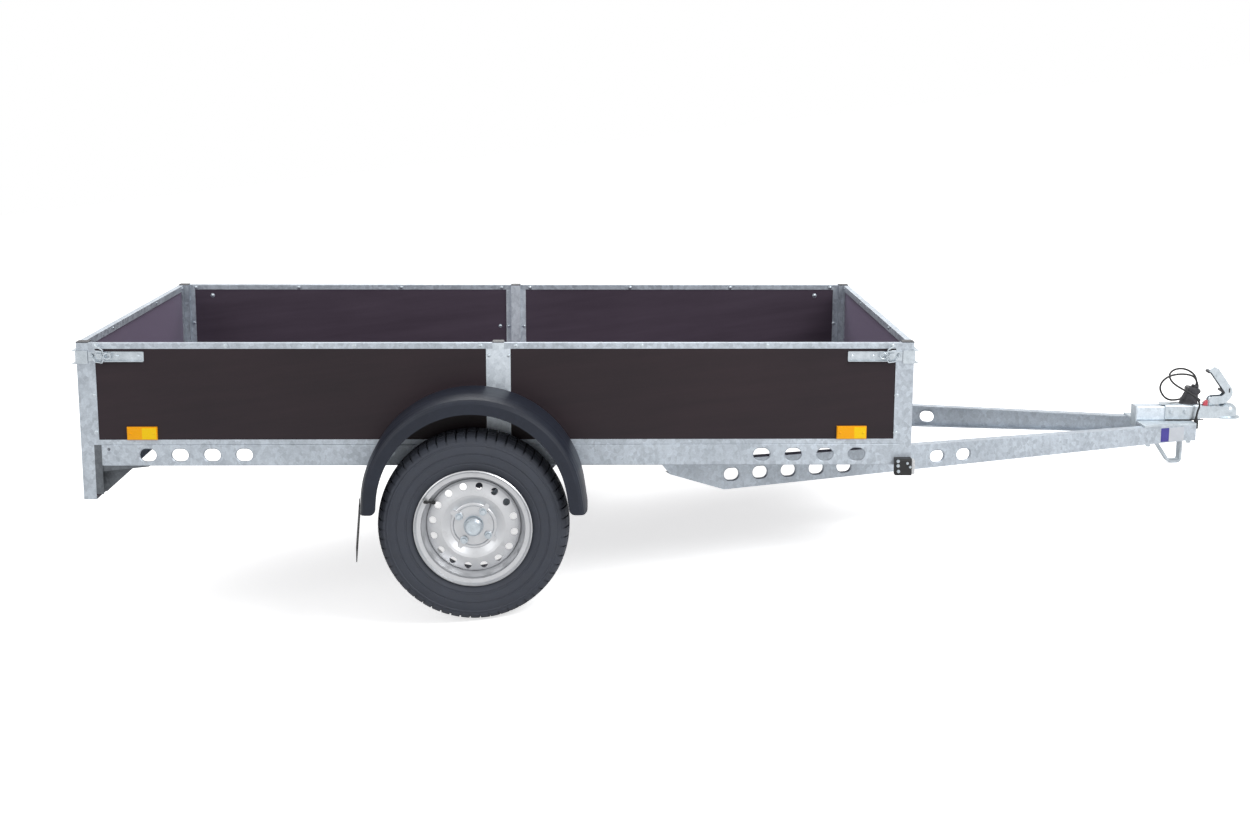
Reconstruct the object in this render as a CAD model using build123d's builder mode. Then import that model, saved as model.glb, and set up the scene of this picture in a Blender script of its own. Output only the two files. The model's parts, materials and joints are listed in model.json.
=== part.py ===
from build123d import *

import os
from math import asin, atan2, cos, degrees, hypot, pi, radians, sin, tan

os.makedirs("parts", exist_ok=True)

# Utility trailer, in millimetres. It is drawn level: +X forward, +Y to the left, +Z up,
# with the ground point under the axle's middle as origin. At the end every piece is leaned
# about the axle, nose down, until the rest foot under the drawbar stands on the ground.

# ---------------------------------------------------------------- driving dimensions
box_length = 2600.0          # outer length of the load box
box_width = 1500.0           # outer width of the load box
rear_overhang = 1228.0       # axle to the rear face of the box
side_height = 322.0          # deck frame top to the top of the side rails
mid_post_x = 75.0            # middle posts, ahead of the axle

beam_bottom = 457.0          # underside of the deck frame
beam_height = 68.0
beam_flange = 40.0
beam_wall = 2.5
beam_bend = 4.0              # outer radius of the beam's bends
beam_rear_setback = 63.0     # box rear face to the side beams' rear end
beam_hole_length = 52.0
beam_hole_height = 40.0
beam_hole_pitch = 100.0
beam_holes_per_row = 4
beam_hole_rear_start = 206.0     # box rear face to the first hole
beam_hole_front_end = 172.0      # box front face to the last hole
hole_collar = 6.0            # folded edge of each punched hole, inside the web
beam_end_hole = 10.0         # small hole at the side beam's rear end
beam_end_hole_inset = 22.0
beam_end_hole_drop = 14.0
cross_member_width = 45.0
cross_member_places = (-620.0, -40.0)    # rear face of each, ahead of the axle

floor_thickness = 12.0
board_thickness = 12.0
rail_wall = 2.0
top_rail_height = 19.0
lip_rail_height = 16.0
board_play = 1.0             # board edge to the bottom of its rail or post

post_length = 37.0           # corner post, along the box
post_depth = 40.0            # posts, across the box
post_wall = 2.0
post_flange = 20.0
mid_post_length = 36.0
front_post_drop = 33.0       # front posts reach this far below the deck frame
cap_height = 3.0
cap_round = 1.0

wheel_radius = 297.0
wheel_gap = 17.5             # side of the box to the tyre
tyre_width = 165.0
tyre_wall = 10.0
tyre_profile = (             # share of the side wall's height below the tread, inset from the widest
    (0.0, 57.5),
    (0.044, 32.5),
    (0.14, 12.5),
    (0.254, 4.0),
    (0.456, 0.0),
    (0.807, 6.5),
)
tyre_bead_width = 13.0
rim_bead_radius = 165.0
rim_flange_radius = 181.0
rim_width = 128.0            # between the bead flanges
rim_wall = 4.0
rim_edge = (                 # drop below the flange's edge, distance beyond the bead seat
    (0.0, 11.0),
    (6.0, 2.0),
)
rim_seat_width = 18.0
rim_well_radius = 148.0
rim_well_outer = 40.0        # outer end of the bead seat to the well
rim_well_inner = 30.0
rim_disc_offset = 28.0       # tyre centre plane to the hub face, outwards
rim_bore_gap = 3.0           # middle of the disc's sheet to the hub cap
disc_profile = (             # radius, rise above the part that lies on the hub
    (62.0, 0.0),
    (65.0, 4.0),
    (69.0, 4.0),
    (72.0, 2.0),
    (92.0, 13.0),
    (99.0, 16.0),
    (106.0, 14.0),
    (138.0, 2.0),
)
disc_edge = (                # radius inside the well, rise: edge folded in along the barrel
    (5.0, -4.0),
    (5.0, -16.0),
    (1.0, -22.0),
)
vent_count = 16
vent_circle_radius = 127.0
vent_diameter = 22.0
vent_angle = 14.0            # first vent, from straight ahead
stud_count = 4
stud_circle_radius = 54.0
stud_angle = 56.5
stud_hole_diameter = 13.0
boss_radius = 14.0           # pressed boss round each stud hole
boss_height = 8.0
boss_taper = 15.0
boss_rib_radius = 8.0        # outer end of the rib that each boss runs into
boss_rib_place = 84.0
hub_cap_radius = 28.0
hub_cap_length = 36.0
hub_cap_chamfer = 6.0
hub_floor = 8.0              # bottom of the hub's bore, below the hub face
spindle_end_gap = 2.0
hub_flange_radius = 66.0
hub_flange_thickness = 9.0
hub_barrel_radius = 34.0
hub_barrel_length = 84.0
spindle_radius = 20.0
running_clearance = 0.05     # radial, at turning fits
press_seat = 0.25            # radial, where one turned piece seats on another
soft_gap = 0.3               # curved or soft piece to its seat
tyre_seat_gap = 3.0          # rim flange to the part of the tyre beside it

axle_x = 180.0               # axle tube, ahead of the wheel centre
axle_drop = 67.0             # deck frame underside to the axle tube's centre
axle_size = 60.0
axle_wall = 5.0
spindle_shoulder = 70.0      # swing arm to the hub's inner end
arm_thickness = 18.0
arm_eye_radius = 44.0
arm_spindle_radius = 32.0
arm_gap = 2.0                # swing arm to the axle bracket
bracket_depth = 42.0
bracket_wall = 5.0
bracket_length = 116.0

guard_width = 200.0
guard_radius = 346.0
guard_wall = 4.0
guard_profile = (            # drop below the crown, distance from the outer edge
    (54.0, 0.0),
    (22.0, 0.0),
    (15.0, 3.0),
    (10.0, 10.0),
    (5.0, 30.0),
    (1.0, 60.0),
    (0.0, 100.0),
)
guard_centre_rise = 71.0     # above the wheel centre
guard_gap = 10.0             # side of the box to the mudguard
guard_front_angle = 8.0      # the arch runs straight down from here
guard_rear_angle = 176.0
guard_end_height = 50.5      # lower edge, above the wheel centre
guard_corner_radius = 20.0   # lower corners of the outer lip
guard_bracket_angles = (20.0, 160.0)
guard_bracket_width = 34.0
guard_bracket_wall = 4.0
guard_bracket_reach = 110.0  # from the side of the box
flap_width = 176.0
flap_drop = 148.0            # mudguard's rear end to the lower edge of the flap
flap_wall = 3.0
flap_lean = 13.0
flap_turn = 7.3              # outer edge forward, in degrees
flap_tab_width = 40.0        # tongue that is bolted to the mudguard
flap_tab_height = 26.0

gate_thickness = 20.0
gate_side_gap = 5.0
gate_frame_width = 21.0
gate_proud = 1.0             # gate face beyond the posts' faces
hinge_pin_radius = 4.0
hinge_knuckle_radius = 7.0
hinge_knuckle_length = 40.0
hinge_stand_off = 8.0        # posts' face to the hinge axis
hinge_positions = (-520.0, 0.0, 520.0)
hinge_leaf_wall = 3.0
hinge_leaf_height = 34.0
hinge_gap = 1.0              # between the knuckles of one hinge, along the pin

latch_height = 42.0          # strap round the post
latch_drop = 24.0            # top of the side rail to the strap
latch_wall = 2.0
latch_gap = 1.5              # strap to post
latch_ear = 11.0
latch_reach = 60.0           # strap on the gate, inside the post
strip_length = 149.0
strip_height = 32.0
strip_lift = 2.5             # middle of the strap to the middle of the strip
strip_fold = 9.0
catch_length = 40.0

light_board_depth = 40.0
light_board_height = 175.0
light_board_wall = 2.0
lamp_length = 210.0
lamp_height = 110.0
lamp_inset = 45.0            # end of the light board to the lamp
lamp_drop = 90.0             # deck frame's top to the middle of the lamps
lamp_proud = 3.0
triangle_side = 140.0
triangle_gap = 40.0          # lamp to triangle
triangle_thickness = 5.0
gusset_wall = 3.0
gusset_length = 102.0        # side beam's rear end to the plate's front corner
gusset_drop = 90.0           # below the deck frame
gusset_flange_length = 144.0
gusset_lip = 18.0            # deepest part of the flange's tapered lip
reflector_length = 94.0
reflector_height = 41.5
reflector_thickness = 8.0
reflector_inset_rear = 145.0     # box face to the reflector
reflector_inset_front = 143.0
marker_length = 52.0
marker_height = 53.0
marker_depth = 34.0
marker_setback = 1.0         # behind the front post's face
marker_rise = 5.0            # above the front post's foot
marker_round = 6.0
marker_lens = 10.0
marker_lens_edge = 4.0       # base shown round the lens
marker_lens_round = 3.0

drawbar_angle = 17.2         # each beam, from the centre line
drawbar_height_rear = 98.0
drawbar_height_front = 56.0
drawbar_flange = 40.0
drawbar_wall = 3.0
drawbar_rear_x = 592.0
drawbar_deepest_x = 795.0
drawbar_tail = 25.0          # the beam's cut-back rear corner
drawbar_tail_drop = 35.0
drawbar_end_height = 3.0
drawbar_bend_x = 2462.0
drawbar_nose_half_width = 80.8
nose_length = 41.0           # straight end of each beam, ahead of the bend
drawbar_top_rear = 439.5
drawbar_top_front = 449.0
drawbar_hole_z = 391.0
drawbar_hole_pitch = 100.0
drawbar_holes_rear = 5
drawbar_hole_rear_start = 238.5  # rear end of the beam to the first hole, along the beam
drawbar_holes_front = 2
drawbar_hole_front_start = 983.0
drawbar_hole_front_z = 401.0
packer_width = 20.0          # packers between the beams and the deck frame
packer_depth = 36.0

nose_plate_thickness = 6.0
nose_plate_start_x = 2305.0
end_plate_wall = 4.0
end_plate_drop = 16.0
end_plate_margin = 5.0
tube_size = 52.0
tube_wall = 4.0
tube_overlap = 110.0         # tube inside the coupling

coupling_start_x = 2406.0
coupling_body_length = 127.0
coupling_wall = 3.5
coupling_rise = 5.0          # nose plate to the housing's lower edge
top_plate_length = 128.0
top_plate_width = 44.0
top_plate_wall = 2.5
top_plate_overhang = 12.0    # behind the housing
coupling_centre_x = 2633.0
ball_radius = 25.0
ball_clearance = 0.25
socket_length = 20.0
socket_rise = 3.0            # housing's lower edge to the mouth of the socket
head_radius = 36.0
head_rise = 49.0             # mouth of the socket to the top of the head
head_shoulder = (29.0, 6.0)  # point of the dome: radius, drop below its top
head_side_rise = 8.0         # middle of the head to the dome's lower edge
lip_radius = 47.0
lip_thickness = 5.0
lip_slope = 3.0
handle_width = 32.0
handle_depth = 28.0
handle_wall = 3.0
handle_bend = 20.0
handle_pin_radius = 4.0
handle_setback = 56.0        # handle pin, behind the socket's centre
handle_rise = 15.0           # handle pin, above the coupling body
handle_route = (             # ahead of the pin, above the pin
    (0.0, 0.0),
    (41.0, 2.0),
    (63.0, 26.0),
    (4.0, 106.0),
)
handle_tip = (               # the same, round the handle's curled end
    (15.0, 114.0),
    (-2.0, 120.0),
    (-19.0, 105.0),
    (-7.0, 98.0),
)
lug_width = 16.0
lug_radius = 9.0

foot_width = 40.0
foot_bar = 8.0
foot_bend = 9.0              # inner radius of the foot's bends
foot_drop = 300.0            # ground to the foot's underside, with the trailer level
foot_front_x = 2477.0
foot_flat = 40.0
foot_kink_x = 2378.0
foot_kink_z = 385.0

cable_diameter = 7.0
plug_place = 89.0            # housing's rear end to the plug's axis, at its base
plug_lean = 16.0             # forward, in degrees
plug_profile = (             # distance up the leaning axis, radius
    (-15.0, 31.0),
    (8.0, 30.0),
    (38.0, 24.0),
    (42.0, 26.0),
    (54.0, 26.0),
    (60.0, 20.0),
)
plug_neck_place = 28.0       # base of the axis to the cable's entry
plug_neck_height = 64.0
plug_neck_radius = 7.0
plug_neck_length = 20.0
gland_radius = 8.0
gland_length = 24.0

# ---------------------------------------------------------------- derived places
half_width = box_width / 2
track = box_width + 2 * wheel_gap + tyre_width
hub_inner_y = track / 2 + rim_disc_offset - hub_barrel_length
axle_half_length = hub_inner_y - spindle_shoulder - arm_thickness
lamp_centre_y = half_width - lamp_inset - lamp_length / 2
triangle_centre_y = lamp_centre_y - lamp_length / 2 - triangle_gap - triangle_side / 2
box_rear = -rear_overhang
box_front = box_length - rear_overhang
deck_z = beam_bottom + beam_height
rail_top = deck_z + side_height
post_top = rail_top + cap_height
beam_rear = box_rear + beam_rear_setback
beam_front = box_front - post_length
post_inner_y = half_width - post_depth
board_outer_y = half_width - rail_wall
board_inner_y = board_outer_y - board_thickness
lip_top = deck_z + lip_rail_height
rail_bottom = rail_top - top_rail_height

bay_rear = box_rear + post_length
bay_front = box_front - post_length
bays = (                     # one side panel each: start, end
    (bay_rear, mid_post_x - mid_post_length / 2),
    (mid_post_x + mid_post_length / 2, bay_front),
)


def channel_section(width, height, wall):
    """Channel, web on the left, open to the right, from its lower left corner."""
    Rectangle(width, height, align=(Align.MIN, Align.MIN))
    with Locations((wall, wall)):
        Rectangle(width, height - 2 * wall, align=(Align.MIN, Align.MIN), mode=Mode.SUBTRACT)


def channel_arch(width, height, wall):
    """Channel, web on top, open downwards, from its lower left corner."""
    Rectangle(width, height, align=(Align.MIN, Align.MIN))
    with Locations((wall, 0)):
        Rectangle(width - 2 * wall, height - wall, align=(Align.MIN, Align.MIN), mode=Mode.SUBTRACT)


def shifted(points, distance):
    """Route in a plane moved to its left, with mitred corners."""
    runs = [(after - before).normalized() for before, after in zip(points, points[1:])]
    sides = [Vector(-run.Y, run.X) for run in runs]
    mitres = [(before + after) * (1 / (1 + before.dot(after))) for before, after in zip(sides, sides[1:])]
    return [point + side * distance for point, side in zip(points, [sides[0], *mitres, sides[-1]])]


def block(x_range, y_range, z_range, mode=Mode.ADD):
    """Box between two corners, given by its ranges."""
    with Locations((x_range[0], y_range[0], z_range[0])):
        Box(
            x_range[1] - x_range[0],
            y_range[1] - y_range[0],
            z_range[1] - z_range[0],
            align=(Align.MIN, Align.MIN, Align.MIN),
            mode=mode,
        )


def hole_steps(wall):
    """Steps of a punched hole with a folded collar: widening, depth, taper and mode."""
    return (
        (2 * wall, wall + hole_collar, 0, Mode.ADD),
        (2 * wall, wall, 45, Mode.SUBTRACT),
        (0, wall + hole_collar, 0, Mode.SUBTRACT),
    )


# ---------------------------------------------------------------- deck frame
beam_hole_z = beam_bottom + beam_height / 2
rear_holes = [box_rear + beam_hole_rear_start + i * beam_hole_pitch for i in range(beam_holes_per_row)]
front_holes = [box_front - beam_hole_front_end - i * beam_hole_pitch for i in range(beam_holes_per_row)]

with BuildPart() as side_beams:
    with BuildSketch(Plane.YZ.offset(beam_rear)):
        with Locations((-half_width, beam_bottom)):
            channel_section(beam_flange, beam_height, beam_wall)
        fillet(vertices().group_by(Axis.X)[0], beam_bend)
    extrude(amount=beam_front - beam_rear)
    beam_web = Plane.XZ.offset(half_width)
    for widening, depth, taper, mode in hole_steps(beam_wall):
        with BuildSketch(beam_web):
            with Locations(*[(x, beam_hole_z) for x in rear_holes + front_holes]):
                SlotOverall(beam_hole_length + widening, beam_hole_height + widening)
        extrude(amount=-depth, taper=taper, mode=mode)
    with BuildSketch(beam_web):
        with Locations((beam_rear + beam_end_hole_inset, deck_z - beam_end_hole_drop)):
            Circle(beam_end_hole / 2)
    extrude(amount=-beam_wall, mode=Mode.SUBTRACT)
    mirror(about=Plane.XZ)

cross_member_half = half_width - beam_flange
packer_places = (drawbar_rear_x + cross_member_width, box_front - cross_member_width / 2)
inner_members = (*cross_member_places, packer_places[0] - cross_member_width / 2)

with BuildPart() as cross_members:
    with BuildSketch(Plane.XZ.offset(-cross_member_half)):
        for start in inner_members:
            with Locations((start, beam_bottom)):
                channel_section(cross_member_width, beam_height, beam_wall)
        with Locations(Location((box_front, beam_bottom + beam_height), 180)):
            channel_section(cross_member_width, beam_height, beam_wall)
    extrude(amount=2 * cross_member_half)
    rear_sill_start = box_rear + light_board_depth
    with BuildSketch(Plane.XZ.offset(-half_width + beam_wall)):
        with Locations((rear_sill_start, beam_bottom)):
            channel_section(beam_rear - rear_sill_start, beam_height, beam_wall)
    extrude(amount=2 * (half_width - beam_wall))

with BuildPart() as floor_panel:
    block(
        (rear_sill_start, box_front - gate_thickness),
        (-post_inner_y, post_inner_y),
        (deck_z, deck_z + floor_thickness),
    )

# ---------------------------------------------------------------- sides
with BuildPart() as corner_posts:
    for face_x, inward, foot_z in ((box_rear, 1, deck_z), (box_front, -1, beam_bottom - front_post_drop)):
        box_x = sorted((face_x, face_x + inward * post_length))
        bore_x = sorted((face_x + inward * post_wall, face_x + inward * (post_length - post_wall)))
        flange_x = sorted((face_x + inward * post_length, face_x + inward * (post_length + post_flange)))
        block(box_x, (-half_width, -post_inner_y), (foot_z, rail_top))
        block(
            bore_x,
            (-half_width + post_wall, -post_inner_y - post_wall),
            (foot_z, rail_top),
            mode=Mode.SUBTRACT,
        )
        block(flange_x, (-half_width, -board_outer_y), (lip_top, rail_bottom))
        block(flange_x, (-board_inner_y, -board_inner_y + rail_wall), (lip_top, rail_bottom))
    mirror(about=Plane.XZ)

with BuildPart() as mid_posts:
    mid_x = (mid_post_x - mid_post_length / 2, mid_post_x + mid_post_length / 2)
    block(mid_x, (-half_width, -post_inner_y), (deck_z, rail_top))
    block(
        (mid_x[0] + post_wall, mid_x[1] - post_wall),
        (-half_width + post_wall, -post_inner_y - post_wall),
        (deck_z, rail_top),
        mode=Mode.SUBTRACT,
    )
    for flange_x in ((mid_x[0] - post_flange, mid_x[0]), (mid_x[1], mid_x[1] + post_flange)):
        block(flange_x, (-half_width, -board_outer_y), (lip_top, rail_bottom))
        block(flange_x, (-board_inner_y, -board_inner_y + rail_wall), (lip_top, rail_bottom))
    mirror(about=Plane.XZ)

with BuildPart() as post_caps:
    for start, length in (
        (box_rear, post_length),
        (mid_x[0], mid_post_length),
        (box_front - post_length, post_length),
    ):
        block(
            (start, start + length),
            (-half_width, -post_inner_y),
            (rail_top, post_top),
        )
    fillet(edges().group_by(Axis.Z)[-1], cap_round)
    mirror(about=Plane.XZ)

with BuildPart() as side_boards:
    for start, end in bays:
        block(
            (start + board_play, end - board_play),
            (-board_outer_y, -board_inner_y),
            (deck_z + rail_wall, rail_top - rail_wall),
        )
    mirror(about=Plane.XZ)

with BuildPart() as top_rails:
    for start, end in bays:
        block(
            (start, end),
            (-half_width, -board_inner_y + rail_wall),
            (rail_bottom, rail_top),
        )
    fillet(edges().filter_by(Axis.X).group_by(Axis.Z)[-1], rail_wall * 1.5)
    for start, end in bays:
        block(
            (start, end),
            (-board_outer_y, -board_inner_y),
            (rail_bottom, rail_top - rail_wall),
            mode=Mode.SUBTRACT,
        )
    mirror(about=Plane.XZ)

with BuildPart() as lip_rails:
    for start, end in bays:
        block((start, end), (-half_width, -board_inner_y + rail_wall), (deck_z, lip_top))
        block(
            (start, end),
            (-board_outer_y, -board_inner_y),
            (deck_z + rail_wall, lip_top),
            mode=Mode.SUBTRACT,
        )
    mirror(about=Plane.XZ)

# ---------------------------------------------------------------- wheels and axle
wheel_axis = Axis((0, 0, wheel_radius), (0, 1, 0))
half_rim = rim_width / 2
tyre_bead_radius = rim_bead_radius + press_seat
hub_face = rim_disc_offset
disc_face = hub_face + rim_wall / 2
wheel_pieces = {}
for side_name, side in (("right", -1), ("left", 1)):
    # local x is the radius, local y runs outwards from the tyre's centre plane
    wheel_plane = Plane(origin=(0, side * track / 2, wheel_radius), x_dir=(1, 0, 0), z_dir=(0, 0, side))
    face_plane = Plane(
        origin=(0, side * (track / 2 - half_rim), wheel_radius), x_dir=(1, 0, 0), z_dir=(0, side, 0)
    )
    boss_plane = face_plane.offset(half_rim + disc_face)

    with BuildPart() as rim:
        with BuildSketch(wheel_plane):
            with BuildLine():
                seat_radius = rim_bead_radius - rim_wall / 2
                outer_edge = [(rim_flange_radius - drop, half_rim + reach) for drop, reach in rim_edge]
                outer_edge += [(seat_radius, half_rim), (seat_radius - 1, half_rim - rim_seat_width)]
                Polyline(
                    *[(radius, -place) for radius, place in outer_edge],
                    (rim_well_radius, -half_rim + rim_well_inner),
                    (rim_well_radius, half_rim - rim_well_outer),
                    *reversed(outer_edge),
                )
            trace(line_width=rim_wall)
            with BuildLine():
                Polyline(
                    (hub_cap_radius + rim_bore_gap, disc_face),
                    *[(radius, disc_face + rise) for radius, rise in disc_profile],
                    *[(rim_well_radius - inset, disc_face + rise) for inset, rise in disc_edge],
                )
            trace(line_width=rim_wall)
        revolve(axis=wheel_axis)
        for i in range(stud_count):
            spoke = Vector(1, 0).rotate(Axis.Z, stud_angle + i * 360 / stud_count)
            with BuildSketch(boss_plane):
                with BuildLine():
                    CenterArc(spoke * stud_circle_radius, boss_radius, 0, 360)
                    CenterArc(spoke * boss_rib_place, boss_rib_radius, 0, 360)
                make_hull()
            extrude(amount=boss_height + rim_wall / 2, taper=boss_taper)
        with BuildSketch(face_plane):
            with PolarLocations(vent_circle_radius, vent_count, start_angle=vent_angle):
                Circle(vent_diameter / 2)
            with PolarLocations(stud_circle_radius, stud_count, start_angle=stud_angle):
                Circle(stud_hole_diameter / 2)
        extrude(amount=rim_width, mode=Mode.SUBTRACT)
    wheel_pieces["rim_" + side_name] = rim

    with BuildPart() as tyre:
        with BuildSketch(wheel_plane):
            with BuildLine():
                wall_height = wheel_radius - rim_flange_radius - tyre_seat_gap
                outer_side = [
                    (wheel_radius - share * wall_height, tyre_width / 2 - inset) for share, inset in tyre_profile
                ]
                bead = [
                    (rim_flange_radius + tyre_seat_gap, half_rim + tyre_seat_gap / 2),
                    (tyre_bead_radius, half_rim - tyre_seat_gap),
                    (tyre_bead_radius, half_rim - tyre_bead_width),
                ]
                lining = [
                    (wheel_radius - share * wall_height - tyre_wall, tyre_width / 2 - inset - tyre_wall)
                    for share, inset in tyre_profile[2::2]
                ]
                half_section = [*outer_side, *bead, *reversed(lining)]
                Polyline(
                    *half_section,
                    *[(radius, -place) for radius, place in reversed(half_section)],
                    close=True,
                )
            make_face()
        revolve(axis=wheel_axis)
    wheel_pieces["tyre_" + side_name] = tyre

    with BuildPart() as hub:
        with BuildSketch(wheel_plane):
            with BuildLine():
                bore = spindle_radius + running_clearance
                barrel_end = hub_face - hub_barrel_length
                Polyline(
                    (bore, barrel_end),
                    (hub_barrel_radius, barrel_end),
                    (hub_barrel_radius, hub_face - hub_flange_thickness),
                    (hub_flange_radius, hub_face - hub_flange_thickness),
                    (hub_flange_radius, hub_face),
                    (hub_cap_radius, hub_face),
                    (hub_cap_radius, hub_face + hub_cap_length - hub_cap_chamfer),
                    (hub_cap_radius - hub_cap_chamfer, hub_face + hub_cap_length),
                    (0, hub_face + hub_cap_length),
                    (0, hub_face - hub_floor),
                    (bore, hub_face - hub_floor),
                    close=True,
                )
            make_face()
        revolve(axis=wheel_axis)
    wheel_pieces["hub_" + side_name] = hub

axle_z = beam_bottom - axle_drop
spindle_end = track / 2 + hub_face - hub_floor - spindle_end_gap
with BuildPart() as axle_tube:
    with BuildSketch(Plane.XZ.offset(-axle_half_length)):
        with Locations((axle_x, axle_z)):
            RectangleRounded(axle_size, axle_size, axle_wall * 1.5)
            RectangleRounded(axle_size - 2 * axle_wall, axle_size - 2 * axle_wall, axle_wall / 2, mode=Mode.SUBTRACT)
    extrude(amount=2 * axle_half_length)

with BuildPart() as swing_arms:
    with BuildSketch(Plane.XZ.offset(axle_half_length)):
        with BuildLine():
            CenterArc((axle_x, axle_z), arm_eye_radius, 0, 360)
            CenterArc((0, wheel_radius), arm_spindle_radius, 0, 360)
        make_hull()
    extrude(amount=arm_thickness)
    with BuildSketch(Plane.XZ.offset(axle_half_length)):
        with Locations((0, wheel_radius)):
            Circle(spindle_radius)
    extrude(amount=spindle_end - axle_half_length)
    mirror(about=Plane.XZ)

with BuildPart() as axle_brackets:
    with BuildSketch(Plane.YZ.offset(axle_x - bracket_length / 2)):
        with Locations((-axle_half_length + arm_gap, axle_z + axle_size / 2)):
            channel_arch(bracket_depth, axle_drop - axle_size / 2, bracket_wall)
        with Locations((-half_width + beam_wall, beam_bottom - bracket_wall)):
            Rectangle(
                half_width - beam_wall - axle_half_length + arm_gap,
                bracket_wall,
                align=(Align.MIN, Align.MIN),
            )
    extrude(amount=bracket_length)
    mirror(about=Plane.XZ)

# ---------------------------------------------------------------- mudguards
guard_centre_z = wheel_radius + guard_centre_rise
guard_end_z = wheel_radius + guard_end_height
guard_inner_y = half_width + guard_gap
guard_outer_y = guard_inner_y + guard_width
guard_axis = Axis((0, 0, guard_centre_z), (0, -1, 0))
# local x is the distance from the arch's centre, local y is +Y
guard_plane = Plane(origin=(0, 0, guard_centre_z), x_dir=(1, 0, 0), z_dir=(0, 0, 1))
guard_ends = (               # plane across the arch, direction of the straight end
    (guard_plane.rotated((0, -guard_front_angle, 0)), -1),
    (guard_plane.rotated((0, -guard_rear_angle, 0)), 1),
)
guard_outline = [Vector(guard_radius - drop, place - guard_outer_y) for drop, place in guard_profile]
guard_outline.append(Vector(guard_radius, -guard_inner_y))
guard_section = [*guard_outline, *reversed(shifted(guard_outline, guard_wall))]

with BuildPart() as mudguards:
    with BuildSketch(guard_ends[0][0]):
        with BuildLine():
            Polyline(*guard_section, close=True)
        make_face()
    revolve(axis=guard_axis, revolution_arc=guard_rear_angle - guard_front_angle)
    for end_plane, direction in guard_ends:
        with BuildSketch(end_plane):
            with BuildLine():
                Polyline(*guard_section, close=True)
            make_face()
        extrude(amount=direction * guard_radius / 2)
    split(bisect_by=Plane.XY.offset(guard_end_z), keep=Keep.TOP)
    lip_corners = edges().filter_by(Axis.Y).group_by(Axis.Z)[0].sort_by(Axis.Y)[:2]
    fillet(lip_corners, guard_corner_radius)
    mirror(about=Plane.XZ)

with BuildPart() as guard_brackets:
    for angle in guard_bracket_angles:
        radial = Vector(cos(radians(angle)), 0, sin(radians(angle)))
        inner_radius = guard_radius - guard_wall
        chord_drop = hypot(inner_radius, guard_bracket_width / 2) - inner_radius
        seat = Vector(0, 0, guard_centre_z) + radial * (inner_radius - chord_drop - soft_gap)
        arm_plane = Plane(origin=seat, x_dir=(0, -1, 0), z_dir=-radial)
        with BuildSketch(arm_plane):
            with Locations((half_width, 0)):
                Rectangle(guard_bracket_reach, guard_bracket_width, align=(Align.MIN, Align.CENTER))
        extrude(amount=guard_bracket_wall)
    mirror(about=Plane.XZ)

# the crown's rear face, at the lower edge of the arch
rear_turn = radians(guard_rear_angle)
rear_run = (guard_centre_z + guard_radius * sin(rear_turn) - guard_end_z) * tan(rear_turn)
guard_rear_x = guard_radius * cos(rear_turn) + rear_run
turn = radians(flap_turn)
flap_x = guard_rear_x - soft_gap - flap_wall / 2 / cos(turn) - flap_tab_width / 2 * sin(turn)
flap_plane = Plane(
    origin=(flap_x, -guard_inner_y - guard_width / 2, guard_end_z - soft_gap),
    x_dir=(cos(turn), sin(turn), 0),
    z_dir=(sin(turn), -cos(turn), 0),
)
with BuildPart() as mud_flaps:
    with BuildSketch(flap_plane):
        with BuildLine():
            Polyline(
                (flap_wall / 2, 0),
                (-flap_wall / 2, 0),
                (-flap_wall / 2 - flap_lean, -flap_drop),
                (flap_wall / 2 - flap_lean, -flap_drop),
                close=True,
            )
        make_face()
    extrude(amount=flap_width / 2, both=True)
    with BuildSketch(flap_plane):
        Rectangle(flap_wall, flap_tab_height, align=(Align.CENTER, Align.MIN))
    extrude(amount=flap_tab_width / 2, both=True)
    mirror(about=Plane.XZ)

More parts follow.
